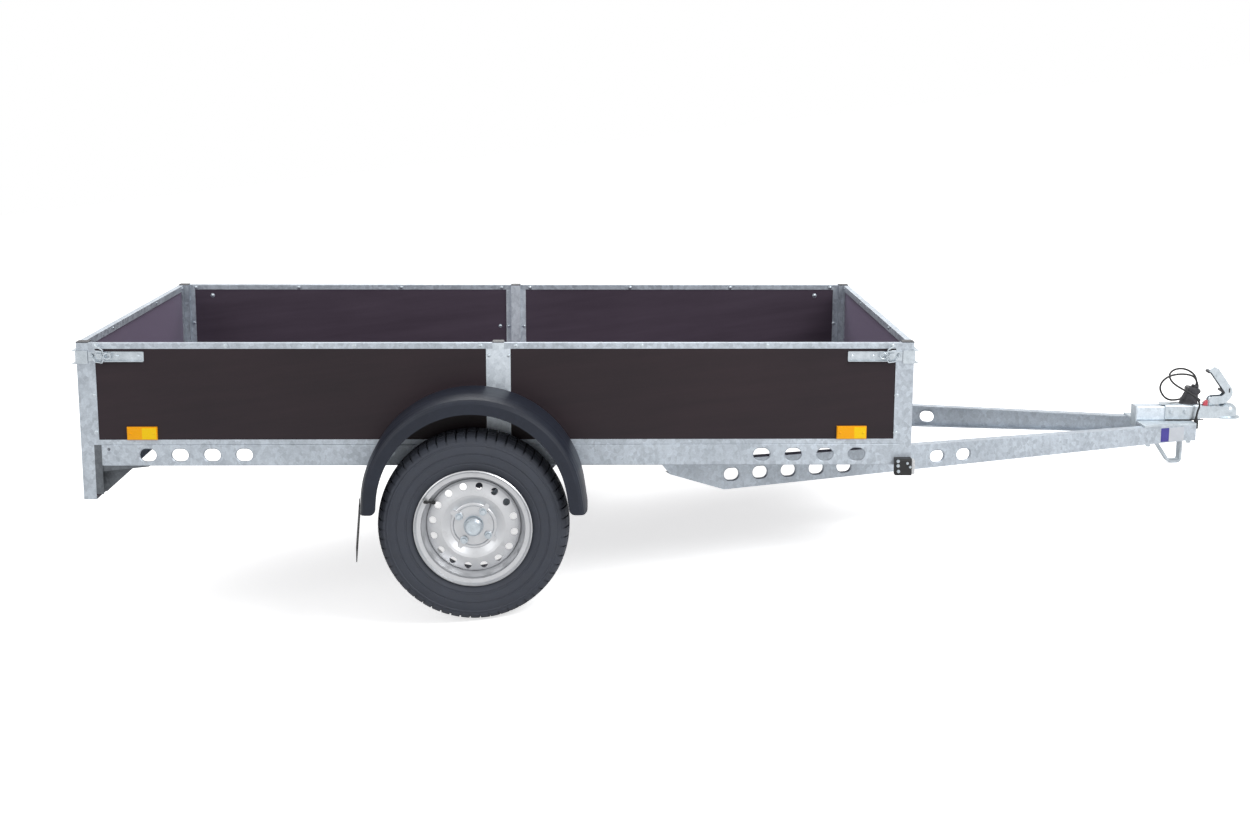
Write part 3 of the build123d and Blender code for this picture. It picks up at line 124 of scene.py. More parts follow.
class Finish:
    """A surface finish: one principled shader and the nodes that vary it."""

    def __init__(self, name, **shader_values):
        self.material = bpy.data.materials.new(name)
        self.material.use_nodes = True
        self.tree = self.material.node_tree
        self.shader = self.tree.nodes["Principled BSDF"]
        for socket_name, value in shader_values.items():
            self.shader.inputs[socket_name.replace("_", " ")].default_value = value

    def add(self, kind, settings=None, sockets=None, output=0):
        """Adds a node: its settings first, then the values or wires of its sockets."""
        node = self.tree.nodes.new("ShaderNode" + kind)
        for name, value in (settings or {}).items():
            if name == "stops":
                ramp = node.color_ramp
                while len(ramp.elements) < len(value):
                    ramp.elements.new(0.5)
                for element, (position, tone) in zip(ramp.elements, value):
                    element.position = position
                    element.color = (tone, tone, tone, 1)
            else:
                setattr(node, name, value)
        for name, value in (sockets or {}).items():
            self.feed(node.inputs[name], value)
        return Wire(self, node.outputs[output])

    def maths(self, operation, *values):
        return self.add("Math", {"operation": operation}, dict(enumerate(values)))

    def feed(self, socket, value):
        if isinstance(value, Wire):
            self.tree.links.new(value.socket, socket)
        else:
            socket.default_value = value

    def place(self, scale=1.0, stretch=(1, 1, 1)):
        """Where the surface point is on its piece, in metres, scaled and stretched."""
        point = self.add("TexCoord", output="Object")
        return self.add(
            "Mapping", None, {"Vector": point, "Scale": [scale * share for share in stretch]}
        )

    def noise(self, scale, detail=3.0, roughness=0.5, stretch=(1, 1, 1)):
        """Soft cloudy value from 0 to 1."""
        sockets = {
            "Vector": self.place(scale, stretch),
            "Scale": 1.0,
            "Detail": detail,
            "Roughness": roughness,
        }
        return self.add("TexNoise", None, sockets)

    def cells(self, scale, output="Color", stretch=(1, 1, 1)):
        """A random value for each cell of a broken pattern, or the distance to its middle."""
        cell = self.add(
            "TexVoronoi",
            None,
            {"Vector": self.place(scale, stretch), "Scale": 1.0},
            output=output,
        )
        if output == "Distance":
            return cell
        return self.add("SeparateColor", None, {0: cell})

    def spread(self, value, low, high):
        """Stretches a value from between low and high to between 0 and 1, cut off there."""
        return self.add(
            "MapRange", None, {"Value": value, "From Min": low, "From Max": high}
        )

    def blend(self, share, first, second):
        """Colour between two colours or wires, by a share from 0 to 1."""
        return self.add(
            "Mix", {"data_type": "RGBA"}, {0: share, 6: colour(first), 7: colour(second)}, output=2
        )

    def bump(self, height, distance, strength=1.0, normal=None):
        """A raised surface, its height from 0 to 1 standing for a distance in metres."""
        sockets = {"Height": height, "Distance": distance, "Strength": strength}
        if normal is not None:
            sockets["Normal"] = normal
        return self.add("Bump", None, sockets)

    def use(self, **wires):
        for socket_name, value in wires.items():
            self.feed(self.shader.inputs[socket_name.replace("_", " ")], value)
        return self


def colour(value):
    """A colour with its alpha, or a wire as it is."""
    if isinstance(value, Wire) or len(value) == 4:
        return value
    return (*value, 1)


def zinc_sheet(name, light, dark, cell_scale, roughness, dullness=0.0):
    """Hot-dip zinc: flat crystals of differing brightness, clouds and fine streaks."""
    zinc = Finish(name, Metallic=0.72 - dullness, IOR=1.5)
    crystals = zinc.cells(cell_scale, stretch=(1, 1, 0.75))
    small = zinc.cells(cell_scale * 2.7)
    clouds = zinc.noise(9, 4)
    stain = zinc.spread(zinc.noise(3.3, 5, 0.65), 0.45, 0.8)
    tone = 0.45 * crystals + 0.2 * small + 0.5 * clouds
    clean = zinc.blend(zinc.spread(tone, 0.2, 0.95), dark, light)
    worn = [0.55 * share for share in dark]
    tint = zinc.blend(0.35 * stain, clean, worn)
    rough = roughness + 0.14 * crystals + 0.12 * clouds + 0.1 * stain
    grain = 0.6 * crystals + 0.4 * zinc.noise(700, 2)
    return zinc.use(
        Base_Color=tint, Roughness=rough, Normal=zinc.bump(grain, 0.00012, 0.35)
    )


def zinc_plate(name, light, dark, roughness):
    """Bright electro-plated zinc: nearly even, with soft clouds and fine scratches."""
    plate = Finish(name, Metallic=0.95)
    clouds = plate.noise(45, 3)
    scratches = plate.noise(240, 2, 0.6, (1, 0.08, 1))
    tone = plate.spread(0.6 * clouds + 0.4 * scratches, 0.3, 0.7)
    return plate.use(
        Base_Color=plate.blend(tone, dark, light),
        Roughness=roughness + 0.15 * clouds + 0.08 * scratches,
        Normal=plate.bump(scratches, 0.00005, 0.4),
    )


def film_plywood():
    """Dark brown film over plywood: satin, the veneer's grain faint below it, with painted light
    that makes it paler on the inner faces.
    """
    film = Finish(
        "film_plywood",
        Specular_IOR_Level=0.26,
        Sheen_Weight=0.4,
        Sheen_Roughness=0.5,
        Sheen_Tint=(0.82, 0.7, 1.0, 1),
    )
    grain = film.noise(14, 5, 0.6, (0.15, 1, 1.6))
    clouds = film.noise(2.4, 3)
    specks = film.spread(film.noise(420, 2), 0.62, 0.75)
    tone = film.spread(0.6 * grain + 0.4 * clouds, 0.3, 0.7)
    outside = film.blend(tone, (0.012, 0.007, 0.0085), (0.023, 0.013, 0.0155))
    # inside: the paler film colour, painted light on the inner faces
    inside = film.blend(tone, (0.050, 0.036, 0.052), (0.078, 0.058, 0.082))
    # the film is dark on faces that look away from the middle of the box; faces that look inwards
    # are painted paler, painted light for the brighter light inside the box
    normal = film.add("TexCoord", output="Normal")
    level = film.add("VectorMath", {"operation": "MULTIPLY"}, {0: film.place(), 1: (1, 1, 0)})
    outward = film.add(
        "VectorMath", {"operation": "DOT_PRODUCT"}, {0: normal, 1: level}, output=1
    )
    body = film.blend(film.spread(outward, 0.4, 0.5), inside, outside)
    return film.use(
        Base_Color=film.blend(0.25 * specks, body, (0.05, 0.035, 0.032)),
        Roughness=0.3 + 0.1 * grain + 0.08 * clouds,
        Normal=film.bump(0.7 * grain + 0.3 * film.noise(900, 2), 0.0002, 0.25),
    )


def moulded(name, light, dark, roughness, grain_scale, grain_depth, **shader_values):
    """Moulded plastic or rubber: even colour, fine grain, duller where it is handled."""
    plastic = Finish(name, **shader_values)
    clouds = plastic.noise(12, 4, 0.6)
    grain = plastic.noise(grain_scale, 2, 0.6)
    dust = plastic.spread(plastic.noise(30, 6, 0.7), 0.5, 0.85)
    body = plastic.blend(clouds, dark, light)
    dusty = [min(1, 1.8 * share + 0.01) for share in light]
    return plastic.use(
        Base_Color=plastic.blend(0.3 * dust, body, dusty),
        Roughness=roughness + 0.12 * clouds + 0.08 * dust,
        Normal=plastic.bump(grain, grain_depth, 0.5),
    )


def lens(name, light, dark, prism_scale, alpha=1.0):
    """Moulded lens: a fine grid of prisms under a smooth face."""
    glass = Finish(name, IOR=1.49, Specular_IOR_Level=0.3, Alpha=alpha)
    prisms = glass.cells(prism_scale, "Distance")
    edge = glass.spread(prisms, 0.1, 0.6)
    clouds = glass.noise(60, 2)
    return glass.use(
        Base_Color=glass.blend(0.75 * edge + 0.25 * clouds, light, dark),
        Roughness=0.18 + 0.15 * edge,
        Normal=glass.bump(1 - edge, 0.0004, 0.5),
    )


def rim_paint():
    """Silver wheel paint with metal flake and a little brake dust."""
    paint = Finish("rim_paint", Metallic=0.75, Coat_Weight=0.3, Coat_Roughness=0.2)
    flake = paint.noise(1800, 1)
    clouds = paint.noise(20, 4)
    dust = paint.spread(paint.noise(35, 5, 0.7), 0.55, 0.8)
    silver = paint.blend(0.5 * flake + 0.5 * clouds, (0.5, 0.51, 0.53), (0.7, 0.71, 0.73))
    return paint.use(
        Base_Color=paint.blend(0.3 * dust, silver, (0.3, 0.29, 0.28)),
        Roughness=0.3 + 0.12 * clouds + 0.12 * dust,
        Normal=paint.bump(flake, 0.00004, 0.3),
    )


def tyre_rubber():
    """Black tyre rubber, greyer where dust lies on it."""
    rubber = Finish("tyre_rubber", Specular_IOR_Level=0.35)
    clouds = rubber.noise(16, 4, 0.6)
    grain = rubber.noise(650, 2)
    dust = rubber.spread(rubber.noise(28, 6, 0.7), 0.45, 0.8)
    body = rubber.blend(clouds, (0.042, 0.047, 0.062), (0.064, 0.072, 0.093))
    return rubber.use(
        Base_Color=rubber.blend(0.4 * dust, body, (0.065, 0.067, 0.075)),
        Roughness=0.55 + 0.15 * clouds + 0.1 * dust,
        Normal=rubber.bump(grain, 0.00025, 0.5),
    )


finishes = {
    "galvanised_sheet": zinc_sheet(
        "galvanised_sheet", (0.62, 0.68, 0.745), (0.38, 0.42, 0.47), 95, 0.34
    ),
    "galvanised_bar": zinc_sheet(
        "galvanised_bar", (0.70, 0.76, 0.81), (0.48, 0.53, 0.57), 60, 0.42, 0.1
    ),
    "zinc_plated": zinc_plate(
        "zinc_plated", (0.66, 0.72, 0.77), (0.44, 0.49, 0.53), 0.22
    ),
    "film_plywood": film_plywood(),
    "black_plastic": moulded(
        "black_plastic", (0.05, 0.05, 0.057), (0.028, 0.028, 0.033), 0.4, 900, 0.0001
    ),
    "guard_plastic": moulded(
        "guard_plastic",
        (0.018, 0.023, 0.038),
        (0.010, 0.013, 0.022),
        0.4,
        500,
        0.0002,
        Specular_IOR_Level=0.34,
    ),
    "black_rubber": moulded(
        "black_rubber", (0.022, 0.022, 0.023), (0.012, 0.012, 0.013), 0.6, 700, 0.0002
    ),
    "amber_lens": lens("amber_lens", (1.0, 0.5, 0.0), (1.0, 0.38, 0.0), 400),
    "red_lens": lens("red_lens", (0.6, 0.012, 0.01), (0.28, 0.003, 0.003), 300),
    "clear_lens": lens("clear_lens", (0.86, 0.87, 0.88), (0.55, 0.56, 0.58), 260),
    "rim_paint": rim_paint(),
    "tyre_rubber": tyre_rubber(),
    "cable_sheath": moulded(
        "cable_sheath", (0.016, 0.016, 0.017), (0.009, 0.009, 0.01), 0.42, 1200, 0.00005
    ),
}
# painted shade: a darker, rougher copy of the zinc for the gussets, which lie in shade; painted
# light: a brighter copy for the mid posts and the drawtube
painted_shade_zinc = zinc_sheet("painted_shade_zinc", (0.19, 0.21, 0.23), (0.10, 0.11, 0.125), 95, 0.42, 0.2)
painted_light_zinc = zinc_sheet("painted_light_zinc", (0.82, 0.88, 0.94), (0.58, 0.64, 0.70), 95, 0.34)
own_finishes = {             # pieces whose zinc is painted darker as shade, or brighter as light, than the rest
    "board_gussets": painted_shade_zinc,
    "mid_posts": painted_light_zinc,
    "drawtube": painted_light_zinc,
}
for part in frame["record"]["subparts"]:
    node = frame["nodes"][part["node"]]
    finish = own_finishes.get(part["node"], finishes[part["material_slot"]])
    node.data.materials.clear()
    node.data.materials.append(finish.material)


# ---------------------------------------------------------------- making pieces
def keep(bm, name, body, slot, finish=None, smooth_below=35):
    """Turns a level bmesh into a finished piece on a CAD body."""
    bmesh.ops.transform(bm, matrix=lean, verts=bm.verts)
    bmesh.ops.recalc_face_normals(bm, faces=bm.faces)
    for face in bm.faces:
        face.smooth = True
    for edge in bm.edges:
        if len(edge.link_faces) == 2:
            edge.smooth = edge.calc_face_angle() < math.radians(smooth_below)
    mesh = bpy.data.meshes.new(name)
    bm.to_mesh(mesh)
    bm.free()
    piece = bpy.data.objects.new(name, mesh)
    bpy.context.scene.collection.objects.link(piece)
    mesh.materials.append((finish or finishes[slot]).material)
    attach(piece, body)
    return piece


# ---------------------------------------------------------------- tyres
tread_pitches = 58
groove_share = 0.17          # of a pitch, the cross groove between two blocks
tread_depth = 0.0075
lug_depth = 0.0035
tread_rows = (               # from, to: blocks across the tread, from its middle
    (0.0, 0.0125),
    (0.0165, 0.0335),
    (0.0375, 0.0520),
    (0.0520, 0.0640),
    (0.0655, 0.0720),
    (0.0720, 0.0775),
)
lug_start = 0.065            # further out, the rows are the shoulder's shallow lugs
crown = (                    # from the middle, drop of the tread's surface
    (0.0, 0.0),
    (0.030, 0.0015),
    (0.050, 0.005),
    (0.062, 0.009),
    (0.072, 0.016),
    (0.078, 0.024),
)
side_wall = (                # radius, from the middle: ringed side wall down to the bead
    (0.2665, 0.0782),
    (0.2640, 0.0806),
    (0.2615, 0.0806),
    (0.2600, 0.0796),
    (0.2530, 0.0812),
    (0.2450, 0.0824),
    (0.2380, 0.0822),
    (0.2368, 0.0803),
    (0.2332, 0.0799),
    (0.2320, 0.0812),
    (0.2180, 0.0795),
    (0.2095, 0.0773),
    (0.2085, 0.0752),
    (0.2040, 0.0742),
    (0.2025, 0.0752),
    (0.1930, 0.0705),
    (0.1860, 0.0668),
    (0.1790, 0.0640),
    (0.1655, 0.0612),
    (0.1655, 0.0500),
    (0.2100, 0.0665),
    (0.2600, 0.0670),
    (0.2780, 0.0480),
)
tyre_low, tyre_high = level_box("tyre_right")
tyre_radius = (tyre_high.z - tyre_low.z) / 2
tyre_out = (tyre_high.y + tyre_low.y) / -2


def block_depth(out):
    """Depth of the grooves at a distance from the tread's middle."""
    return tread_depth if out < lug_start else lug_depth


def tread_radius(out):
    """Radius of the tread's surface at a distance from its middle."""
    for (near, near_drop), (far, far_drop) in zip(crown, crown[1:]):
        if out <= far:
            share = (out - near) / (far - near)
            return tyre_radius - near_drop - share * (far_drop - near_drop)
    return tyre_radius - crown[-1][1]


def tyre_profile():
    """Outer half of the tyre's section: groove floors, ringed side wall and bead."""
    edges = sorted({out for row in tread_rows for out in row if out})
    return [(tread_radius(out) - block_depth(out), out) for out in edges] + list(side_wall)


def tyre(name, body, side):
    """A tyre: one pitch of its tread with the blocks raised, turned round the axle."""
    half = tyre_profile()
    outline = [(radius, -out) for radius, out in reversed(half)] + half
    centre = Vector((0, side * tyre_out, tyre_radius))
    bm = bmesh.new()
    corners = [bm.verts.new(centre + Vector((radius, out, 0))) for radius, out in outline]
    edges = [bm.edges.new(pair) for pair in zip(corners, corners[1:] + corners[:1])]
    pitch = 2 * math.pi / tread_pitches
    spin_settings = {"cent": centre, "axis": (0, 1, 0), "dvec": (0, 0, 0)}
    block = bmesh.ops.spin(
        bm,
        geom=edges + corners,
        angle=pitch * (1 - groove_share),
        steps=2,
        use_merge=False,
        use_duplicate=False,
        **spin_settings,
    )
    raised = []
    for face in bm.faces:
        middle = face.calc_center_median() - centre
        radius = math.hypot(middle.x, middle.z)
        in_row = any(low <= abs(middle.y) <= high for low, high in tread_rows)
        if in_row and radius > side_wall[0][0]:
            raised.append(face)
    bmesh.ops.spin(
        bm,
        geom=block["geom_last"],
        angle=pitch * groove_share,
        steps=1,
        use_merge=False,
        use_duplicate=False,
        **spin_settings,
    )
    lifted = bmesh.ops.extrude_face_region(bm, geom=raised)
    bmesh.ops.delete(bm, geom=raised, context="FACES")
    for element in lifted["geom"]:
        if isinstance(element, bmesh.types.BMVert):
            spoke = element.co - centre
            depth = block_depth(abs(spoke.y))
            spoke.y = 0
            element.co += spoke.normalized() * depth
    bmesh.ops.spin(
        bm,
        geom=list(bm.verts) + list(bm.edges) + list(bm.faces),
        angle=2 * math.pi - pitch,
        steps=tread_pitches - 1,
        use_merge=False,
        use_duplicate=True,
        **spin_settings,
    )
    bmesh.ops.remove_doubles(bm, verts=bm.verts, dist=0.00005)
    return keep(bm, name, body, "tyre_rubber", smooth_below=28)


for side_name, side in (("right", -1), ("left", 1)):
    wheel_body = "wheel_" + side_name
    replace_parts(tyre("tread_tyre_" + side_name, wheel_body, side), "tyre_" + side_name)


# ---------------------------------------------------------------- shapes of small pieces
def facing(place, axis):
    """Puts a shape that stands along +Z at a place, along an axis."""
    turn = Vector((0, 0, 1)).rotation_difference(Vector(axis))
    return Matrix.Translation(place) @ turn.to_matrix().to_4x4()


def peg(bm, place, axis, radius, height, sides=20, tip=1.0):
    """A round or many-sided peg standing on a place; its end is tip times as wide."""
    bmesh.ops.create_cone(
        bm,
        cap_ends=True,
        segments=sides,
        radius1=radius,
        radius2=radius * tip,
        depth=height,
        matrix=facing(place, axis) @ Matrix.Translation((0, 0, height / 2)),
    )


def lathe(bm, place, axis, profile, sides=20):
    """Turns a closed profile (radius, height) round an axis through a place."""
    stand = facing(place, axis)
    corners = [bm.verts.new(stand @ Vector((radius, 0, height))) for radius, height in profile]
    edges = [bm.edges.new(pair) for pair in zip(corners, corners[1:])]
    bmesh.ops.spin(
        bm,
        geom=corners + edges,
        cent=place,
        axis=Vector(axis).normalized(),
        dvec=(0, 0, 0),
        angle=2 * math.pi,
        steps=sides,
        use_merge=True,
        use_duplicate=False,
    )
    bmesh.ops.remove_doubles(bm, verts=bm.verts, dist=0.00002)


def slab(bm, low, high):
    """A box between two corners."""
    low, high = Vector(low), Vector(high)
    size = Matrix.Diagonal((*(high - low), 1))
    bmesh.ops.create_cube(bm, size=1, matrix=Matrix.Translation((low + high) / 2) @ size)


def twin_slabs(bm, ends, outs, heights):
    """A box on each side, between two x, two distances from the middle and two heights."""
    for side in (-1, 1):
        near, far = sorted(side * out for out in outs)
        slab(bm, (ends[0], near, heights[0]), (ends[1], far, heights[1]))


def hull(bm, points):
    """The solid that wraps a few points."""
    corners = [bm.verts.new(point) for point in points]
    bmesh.ops.convex_hull(bm, input=corners)


def rod(bm, points, radius, sides=8):
    """Wire through a few points, with a ball at each bend."""
    for start, end in zip(points, points[1:]):
        run = Vector(end) - Vector(start)
        peg(bm, start, run, radius, run.length, sides)
    for point in points[1:-1]:
        bend = Matrix.Translation(point)
        bmesh.ops.create_icosphere(bm, subdivisions=1, radius=radius, matrix=bend)


def rounded(bm, width, segments=2):
    """Rounds every sharp edge."""
    bm.normal_update()
    sharp = [
        edge
        for edge in bm.edges
        if len(edge.link_faces) == 2 and edge.calc_face_angle() > math.radians(30)
    ]
    bmesh.ops.bevel(
        bm,
        geom=sharp,
        offset=width,
        affect="EDGES",
        segments=segments,
        profile=0.5,
        material=-1,
    )


screw_shape = (              # washer and pan head, in shares of the head's radius
    (0, 0),
    (1.45, 0),
    (1.45, 0.2),
    (1, 0.25),
    (0.9, 0.6),
    (0.5, 0.8),
    (0, 0.85),
)


def screw(bm, place, axis, radius):
    """Pan head screw with a washer under it."""
    lathe(bm, place, axis, [(radius * out, radius * up) for out, up in screw_shape], 12)


def bolt(bm, place, axis, radius, height):
    """Hexagon head on a washer, its top chamfered."""
    washer_radius, washer_height = 1.35 * radius, 0.12 * height + 0.001
    peg(bm, place, axis, washer_radius, washer_height, 20, 0.97)
    shoulder, chamfer = 0.8 * height, 0.85 * radius
    head = [(0, 0), (radius, 0), (radius, shoulder), (chamfer, height), (0, height)]
    lathe(bm, place, axis, head, 6)


# ---------------------------------------------------------------- wheel bolts, caps and valves
stud_circle = 0.054
stud_turn = math.radians(56.5)
boss_face = 0.887            # how far out the bosses of the pressed disc reach
bolt_seat = ((0, 0), (0.0125, 0), (0.0122, 0.0025), (0.0095, 0.004), (0, 0.004))
bolt_seat_height = 0.003
cap_face = 0.9135            # outer face of the hub cap
cap_ring = ((0.0165, 0), (0.0170, 0.0012), (0.0200, 0.0012), (0.0205, 0), (0.0165, 0))
cap_middle = ((0, 0), (0.009, 0), (0.008, 0.001), (0, 0.0014))
valve_turn = math.radians(149)
valve_foot = (0.141, 0.882)  # from the axle, out from the trailer's middle
valve_tip = (0.170, 0.938)


def on_wheel(side, radius, turn, out):
    """A point of a wheel: its distance and angle from the axle, and its distance out."""
    return Vector((radius * math.cos(turn), side * out, axle.z + radius * math.sin(turn)))


def wheel_fasteners(name, body, side):
    """Four wheel bolts, and the rings pressed into the blank hub cap."""
    bm = bmesh.new()
    outward = Vector((0, side, 0))
    for quarter in range(4):
        place = on_wheel(side, stud_circle, stud_turn + quarter * math.pi / 2, boss_face)
        lathe(bm, place, outward, bolt_seat, 24)
        bolt(bm, place + outward * bolt_seat_height, outward, 0.0085, 0.009)
    middle = on_wheel(side, 0, 0, cap_face)
    lathe(bm, middle, outward, cap_ring, 48)
    lathe(bm, middle, outward, cap_middle, 24)
    keep(bm, name, body, "zinc_plated")


def wheel_valve(name, body, side):
    """Rubber valve stem that leans out over the rim, with its cap."""
    bm = bmesh.new()
    foot, tip = (
        on_wheel(side, radius, valve_turn, out) for radius, out in (valve_foot, valve_tip)
    )
    along = tip - foot
    length = along.length
    stem = [(0, 0), (0.0062, 0), (0.0058, 0.006), (0.0034, 0.016)]
    cap = [
        (0.0030, length - 0.019),
        (0.0048, length - 0.0185),
        (0.0052, length - 0.016),
        (0.0052, length - 0.003),
        (0.0040, length),
        (0, length),
    ]
    lathe(bm, foot, along, stem + cap, 16)
    keep(bm, name, body, "black_rubber")


for side_name, side in (("right", -1), ("left", 1)):
    wheel_fasteners("wheel_bolts_" + side_name, "wheel_" + side_name, side)
    wheel_valve("valve_" + side_name, "wheel_" + side_name, side)

# ---------------------------------------------------------------- screws of the box
rail_face = level_box("top_rails")[1].y
post_face = level_box("corner_posts")[1].y
beam_face = level_box("side_beams")[1].y
strip_face = 0.750           # face of the board under the latch strips' bolts
board_inner = 0.736          # inner face of the side boards
lining_face = 0.734          # inner face of the rails and the posts' flanges
rail_screw_x = (-1.166, -0.768, -0.370, 0.020, 0.130, 0.521, 0.912, 1.303)
rail_screw_z = 0.838
strip_bolt_x = (-1.103, -1.035, 1.177, 1.243)
strip_bolt_z = 0.8045
post_screws = (              # x and height on the flange of each corner post
    (-1.178, 0.682),
    (-1.178, 0.565),
    (1.321, 0.680),
    (1.321, 0.561),
)
box_screw_sets = (           # radius, face, outwards or inwards, x and height of each
    (0.0052, rail_face, 1, [(x, rail_screw_z) for x in rail_screw_x]),
    (0.0055, lining_face, -1, [(x, rail_screw_z - 0.002) for x in rail_screw_x]),
    (0.005, post_face, 1, post_screws),
    (0.0055, lining_face, -1, [(x, z + 0.016) for x, z in post_screws]),
    (0.0045, post_face, 1, ((0.046, 0.807), (0.107, 0.807))),
    (0.0045, lining_face, -1, ((0.047, 0.684), (0.106, 0.684))),
    (0.005, board_inner, -1, ((0.013, 0.685),)),
    (0.0055, strip_face, 1, [(x, strip_bolt_z) for x in strip_bolt_x]),
    (0.006, board_inner, -1, ((strip_bolt_x[0], strip_bolt_z), (strip_bolt_x[-1], strip_bolt_z))),
)
guard_bolt_radius, guard_bolt_height = 0.005, 0.004
guard_bolts = ((-0.2585, 0.512), (-0.2585, 0.496), (0.320, 0.498), (0.320, 0.480))
gate_screw_y = (-0.68, -0.37, 0.25, 0.68)


def box_screws():
    """Screws of the rails, posts and latch strips, and the bolts of the mudguards' brackets."""
    bm = bmesh.new()
    for side in (-1, 1):
        for radius, face, way, places in box_screw_sets:
            for x, z in places:
                screw(bm, (x, side * face, z), (0, side * way, 0), radius)
        for x, z in guard_bolts:
            place = (x, side * beam_face, z)
            bolt(bm, place, (0, side, 0), guard_bolt_radius, guard_bolt_height)
    keep(bm, "box_screws", "chassis", "zinc_plated")


def gate_screws(gate, inward):
    """Screws along the inside of a gate's upper rail."""
    bm = bmesh.new()
    frame_low, frame_high = level_box(gate + "_frame")
    inner_x = frame_high.x if inward > 0 else frame_low.x
    for y in gate_screw_y:
        screw(bm, (inner_x, y, rail_screw_z), (inward, 0, 0), 0.004)
    keep(bm, gate + "_screws", gate, "zinc_plated")


box_screws()
gate_screws("tailgate", 1)
gate_screws("headboard", -1)

# ---------------------------------------------------------------- latches
latches = (                  # x of the corner's side, towards the middle of the box
    ("rear", -1.170, 1),
    ("front", 1.314, -1),
)
latch_out = 0.765            # how far out the latch wires lie
latch_wires = (              # radius, then the distance past the corner and height of its bends
    (0.0022, ((0.004, 0.8395), (0.026, 0.8265), (0.030, 0.812))),
    (0.0018, ((-0.004, 0.801), (0.002, 0.7895), (0.024, 0.786), (0.030, 0.796))),
    (0.0018, ((0.002, 0.8235), (0.018, 0.8225), (0.036, 0.817))),
    (
        0.0019,
        [
            (0.040 + 0.011 * math.cos(turn), 0.807 + 0.009 * math.sin(turn))
            for turn in (math.radians(30 * step) for step in range(13))
        ],
    ),
)
wire_foot_radius = 0.002
wire_feet = ((0.030, 0.812), (0.030, 0.796), (0.036, 0.817), (0.0295, 0.807))
lever_corners = ((0.006, 0.797), (0.006, 0.815), (0.034, 0.800), (0.034, 0.812))
lever_faces = (strip_face + 0.0005, strip_face + 0.009)
latch_bolts = ((-0.010, 0.005), (0.022, 0.0055))
latch_bolt_z = 0.806


def latch(name, start, inward, side):
    """Wire hook, ring and lever that pull the strap on a gate to the box."""
    bm = bmesh.new()

    def at(ahead, z, out=latch_out):
        return (start + inward * ahead, side * out, z)

    for radius, bends in latch_wires:
        rod(bm, [at(*bend) for bend in bends], radius)
    for foot in wire_feet:
        rod(bm, [at(*foot, strip_face - 0.001), at(*foot)], wire_foot_radius)
    for ahead, radius in latch_bolts:
        place = at(ahead, latch_bolt_z, strip_face + 0.0085)
        bolt(bm, place, (0, side, 0), radius, 0.0055)
    hull(bm, [at(*corner, out) for corner in lever_corners for out in lever_faces])
    keep(bm, name, "chassis", "zinc_plated")


for latch_name, start, inward in latches:
    for side_name, side in (("right", -1), ("left", 1)):
        latch("latch_" + latch_name + "_" + side_name, start, inward, side)

# ---------------------------------------------------------------- reflectors
reflectors = (               # rear end, front end, where the orange half ends
    (-1.083, -0.989, -1.036),
    (1.135, 1.229, 1.190),
)
field_margin = 0.003         # rim round the raised fields
field_heights = (0.541 + field_margin, 0.5825 - field_margin)
reflector_face = 0.756
field_outs = (reflector_face, reflector_face + 0.0012)
reflector_screw_inset = 0.011


def reflector_halves(name, finish, front_half):
    """The raised field of one colour on every reflector, with its screw."""
    bm = bmesh.new()
    for rear, front, split in reflectors:
        if front_half:
            ends = (split, front - field_margin)
            screw_x = front - reflector_screw_inset
        else:
            ends = (rear + field_margin, split)
            screw_x = rear + reflector_screw_inset
        twin_slabs(bm, ends, field_outs, field_heights)
        for side in (-1, 1):
            place = (screw_x, side * (reflector_face + 0.001), sum(field_heights) / 2)
            screw(bm, place, (0, side, 0), 0.0032)
    keep(bm, name, "chassis", "amber_lens", finish)


orange_lens = lens("orange_lens", (1.0, 0.5, 0.0), (1.0, 0.4, 0.0), 400)
yellow_lens = lens("yellow_lens", (1.0, 0.72, 0.002), (1.0, 0.6, 0.001), 400)
reflector_halves("reflector_orange", orange_lens, False)
reflector_halves("reflector_yellow", yellow_lens, True)

# ---------------------------------------------------------------- tail lamps
lamp_low, lamp_high = level_box("tail_lamps")
lamp_ends = (lamp_low.x - 0.0015, lamp_low.x + 0.001)
lamp_length = 0.210
lamp_outer = 0.600 + lamp_length / 2
lamp_height = lamp_high.z - lamp_low.z
lamp_fields = (              # shares of the length from the outer end, and of the height; lens
    (0.02, 0.32, 0.06, 0.94, "amber_lens"),
    (0.34, 0.76, 0.06, 0.94, "red_lens"),
    (0.78, 0.98, 0.50, 0.94, "red_lens"),
    (0.78, 0.98, 0.06, 0.46, "clear_lens"),
)


def lamp_field(name, start, end, bottom, top, slot):
    """One raised lens field on both tail lamps."""
    bm = bmesh.new()
    outs = [lamp_outer - share * lamp_length for share in (start, end)]
    heights = [lamp_low.z + share * lamp_height for share in (bottom, top)]
    twin_slabs(bm, lamp_ends, outs, heights)
    rounded(bm, 0.0006)
    keep(bm, name, "chassis", slot)


for number, field in enumerate(lamp_fields):
    lamp_field("lamp_field_" + str(number), *field)

# ---------------------------------------------------------------- marker lamps at the front
marker_face = 0.784
marker_bolt_places = (       # x, height, radius
    (1.3265, 0.4755, 0.0040),
    (1.3270, 0.4610, 0.0040),
    (1.3285, 0.4430, 0.0040),
    (1.3560, 0.4690, 0.0032),
    (1.3650, 0.4570, 0.0032),
)


def marker_bolts():
    """Bolts on the outer face of the marker lamps' bases."""
    bm = bmesh.new()
    for side in (-1, 1):
        for x, z, radius in marker_bolt_places:
            bolt(bm, (x, side * marker_face, z), (0, side, 0), radius, 0.004)
    keep(bm, "marker_bolts", "chassis", "zinc_plated")


marker_bolts()

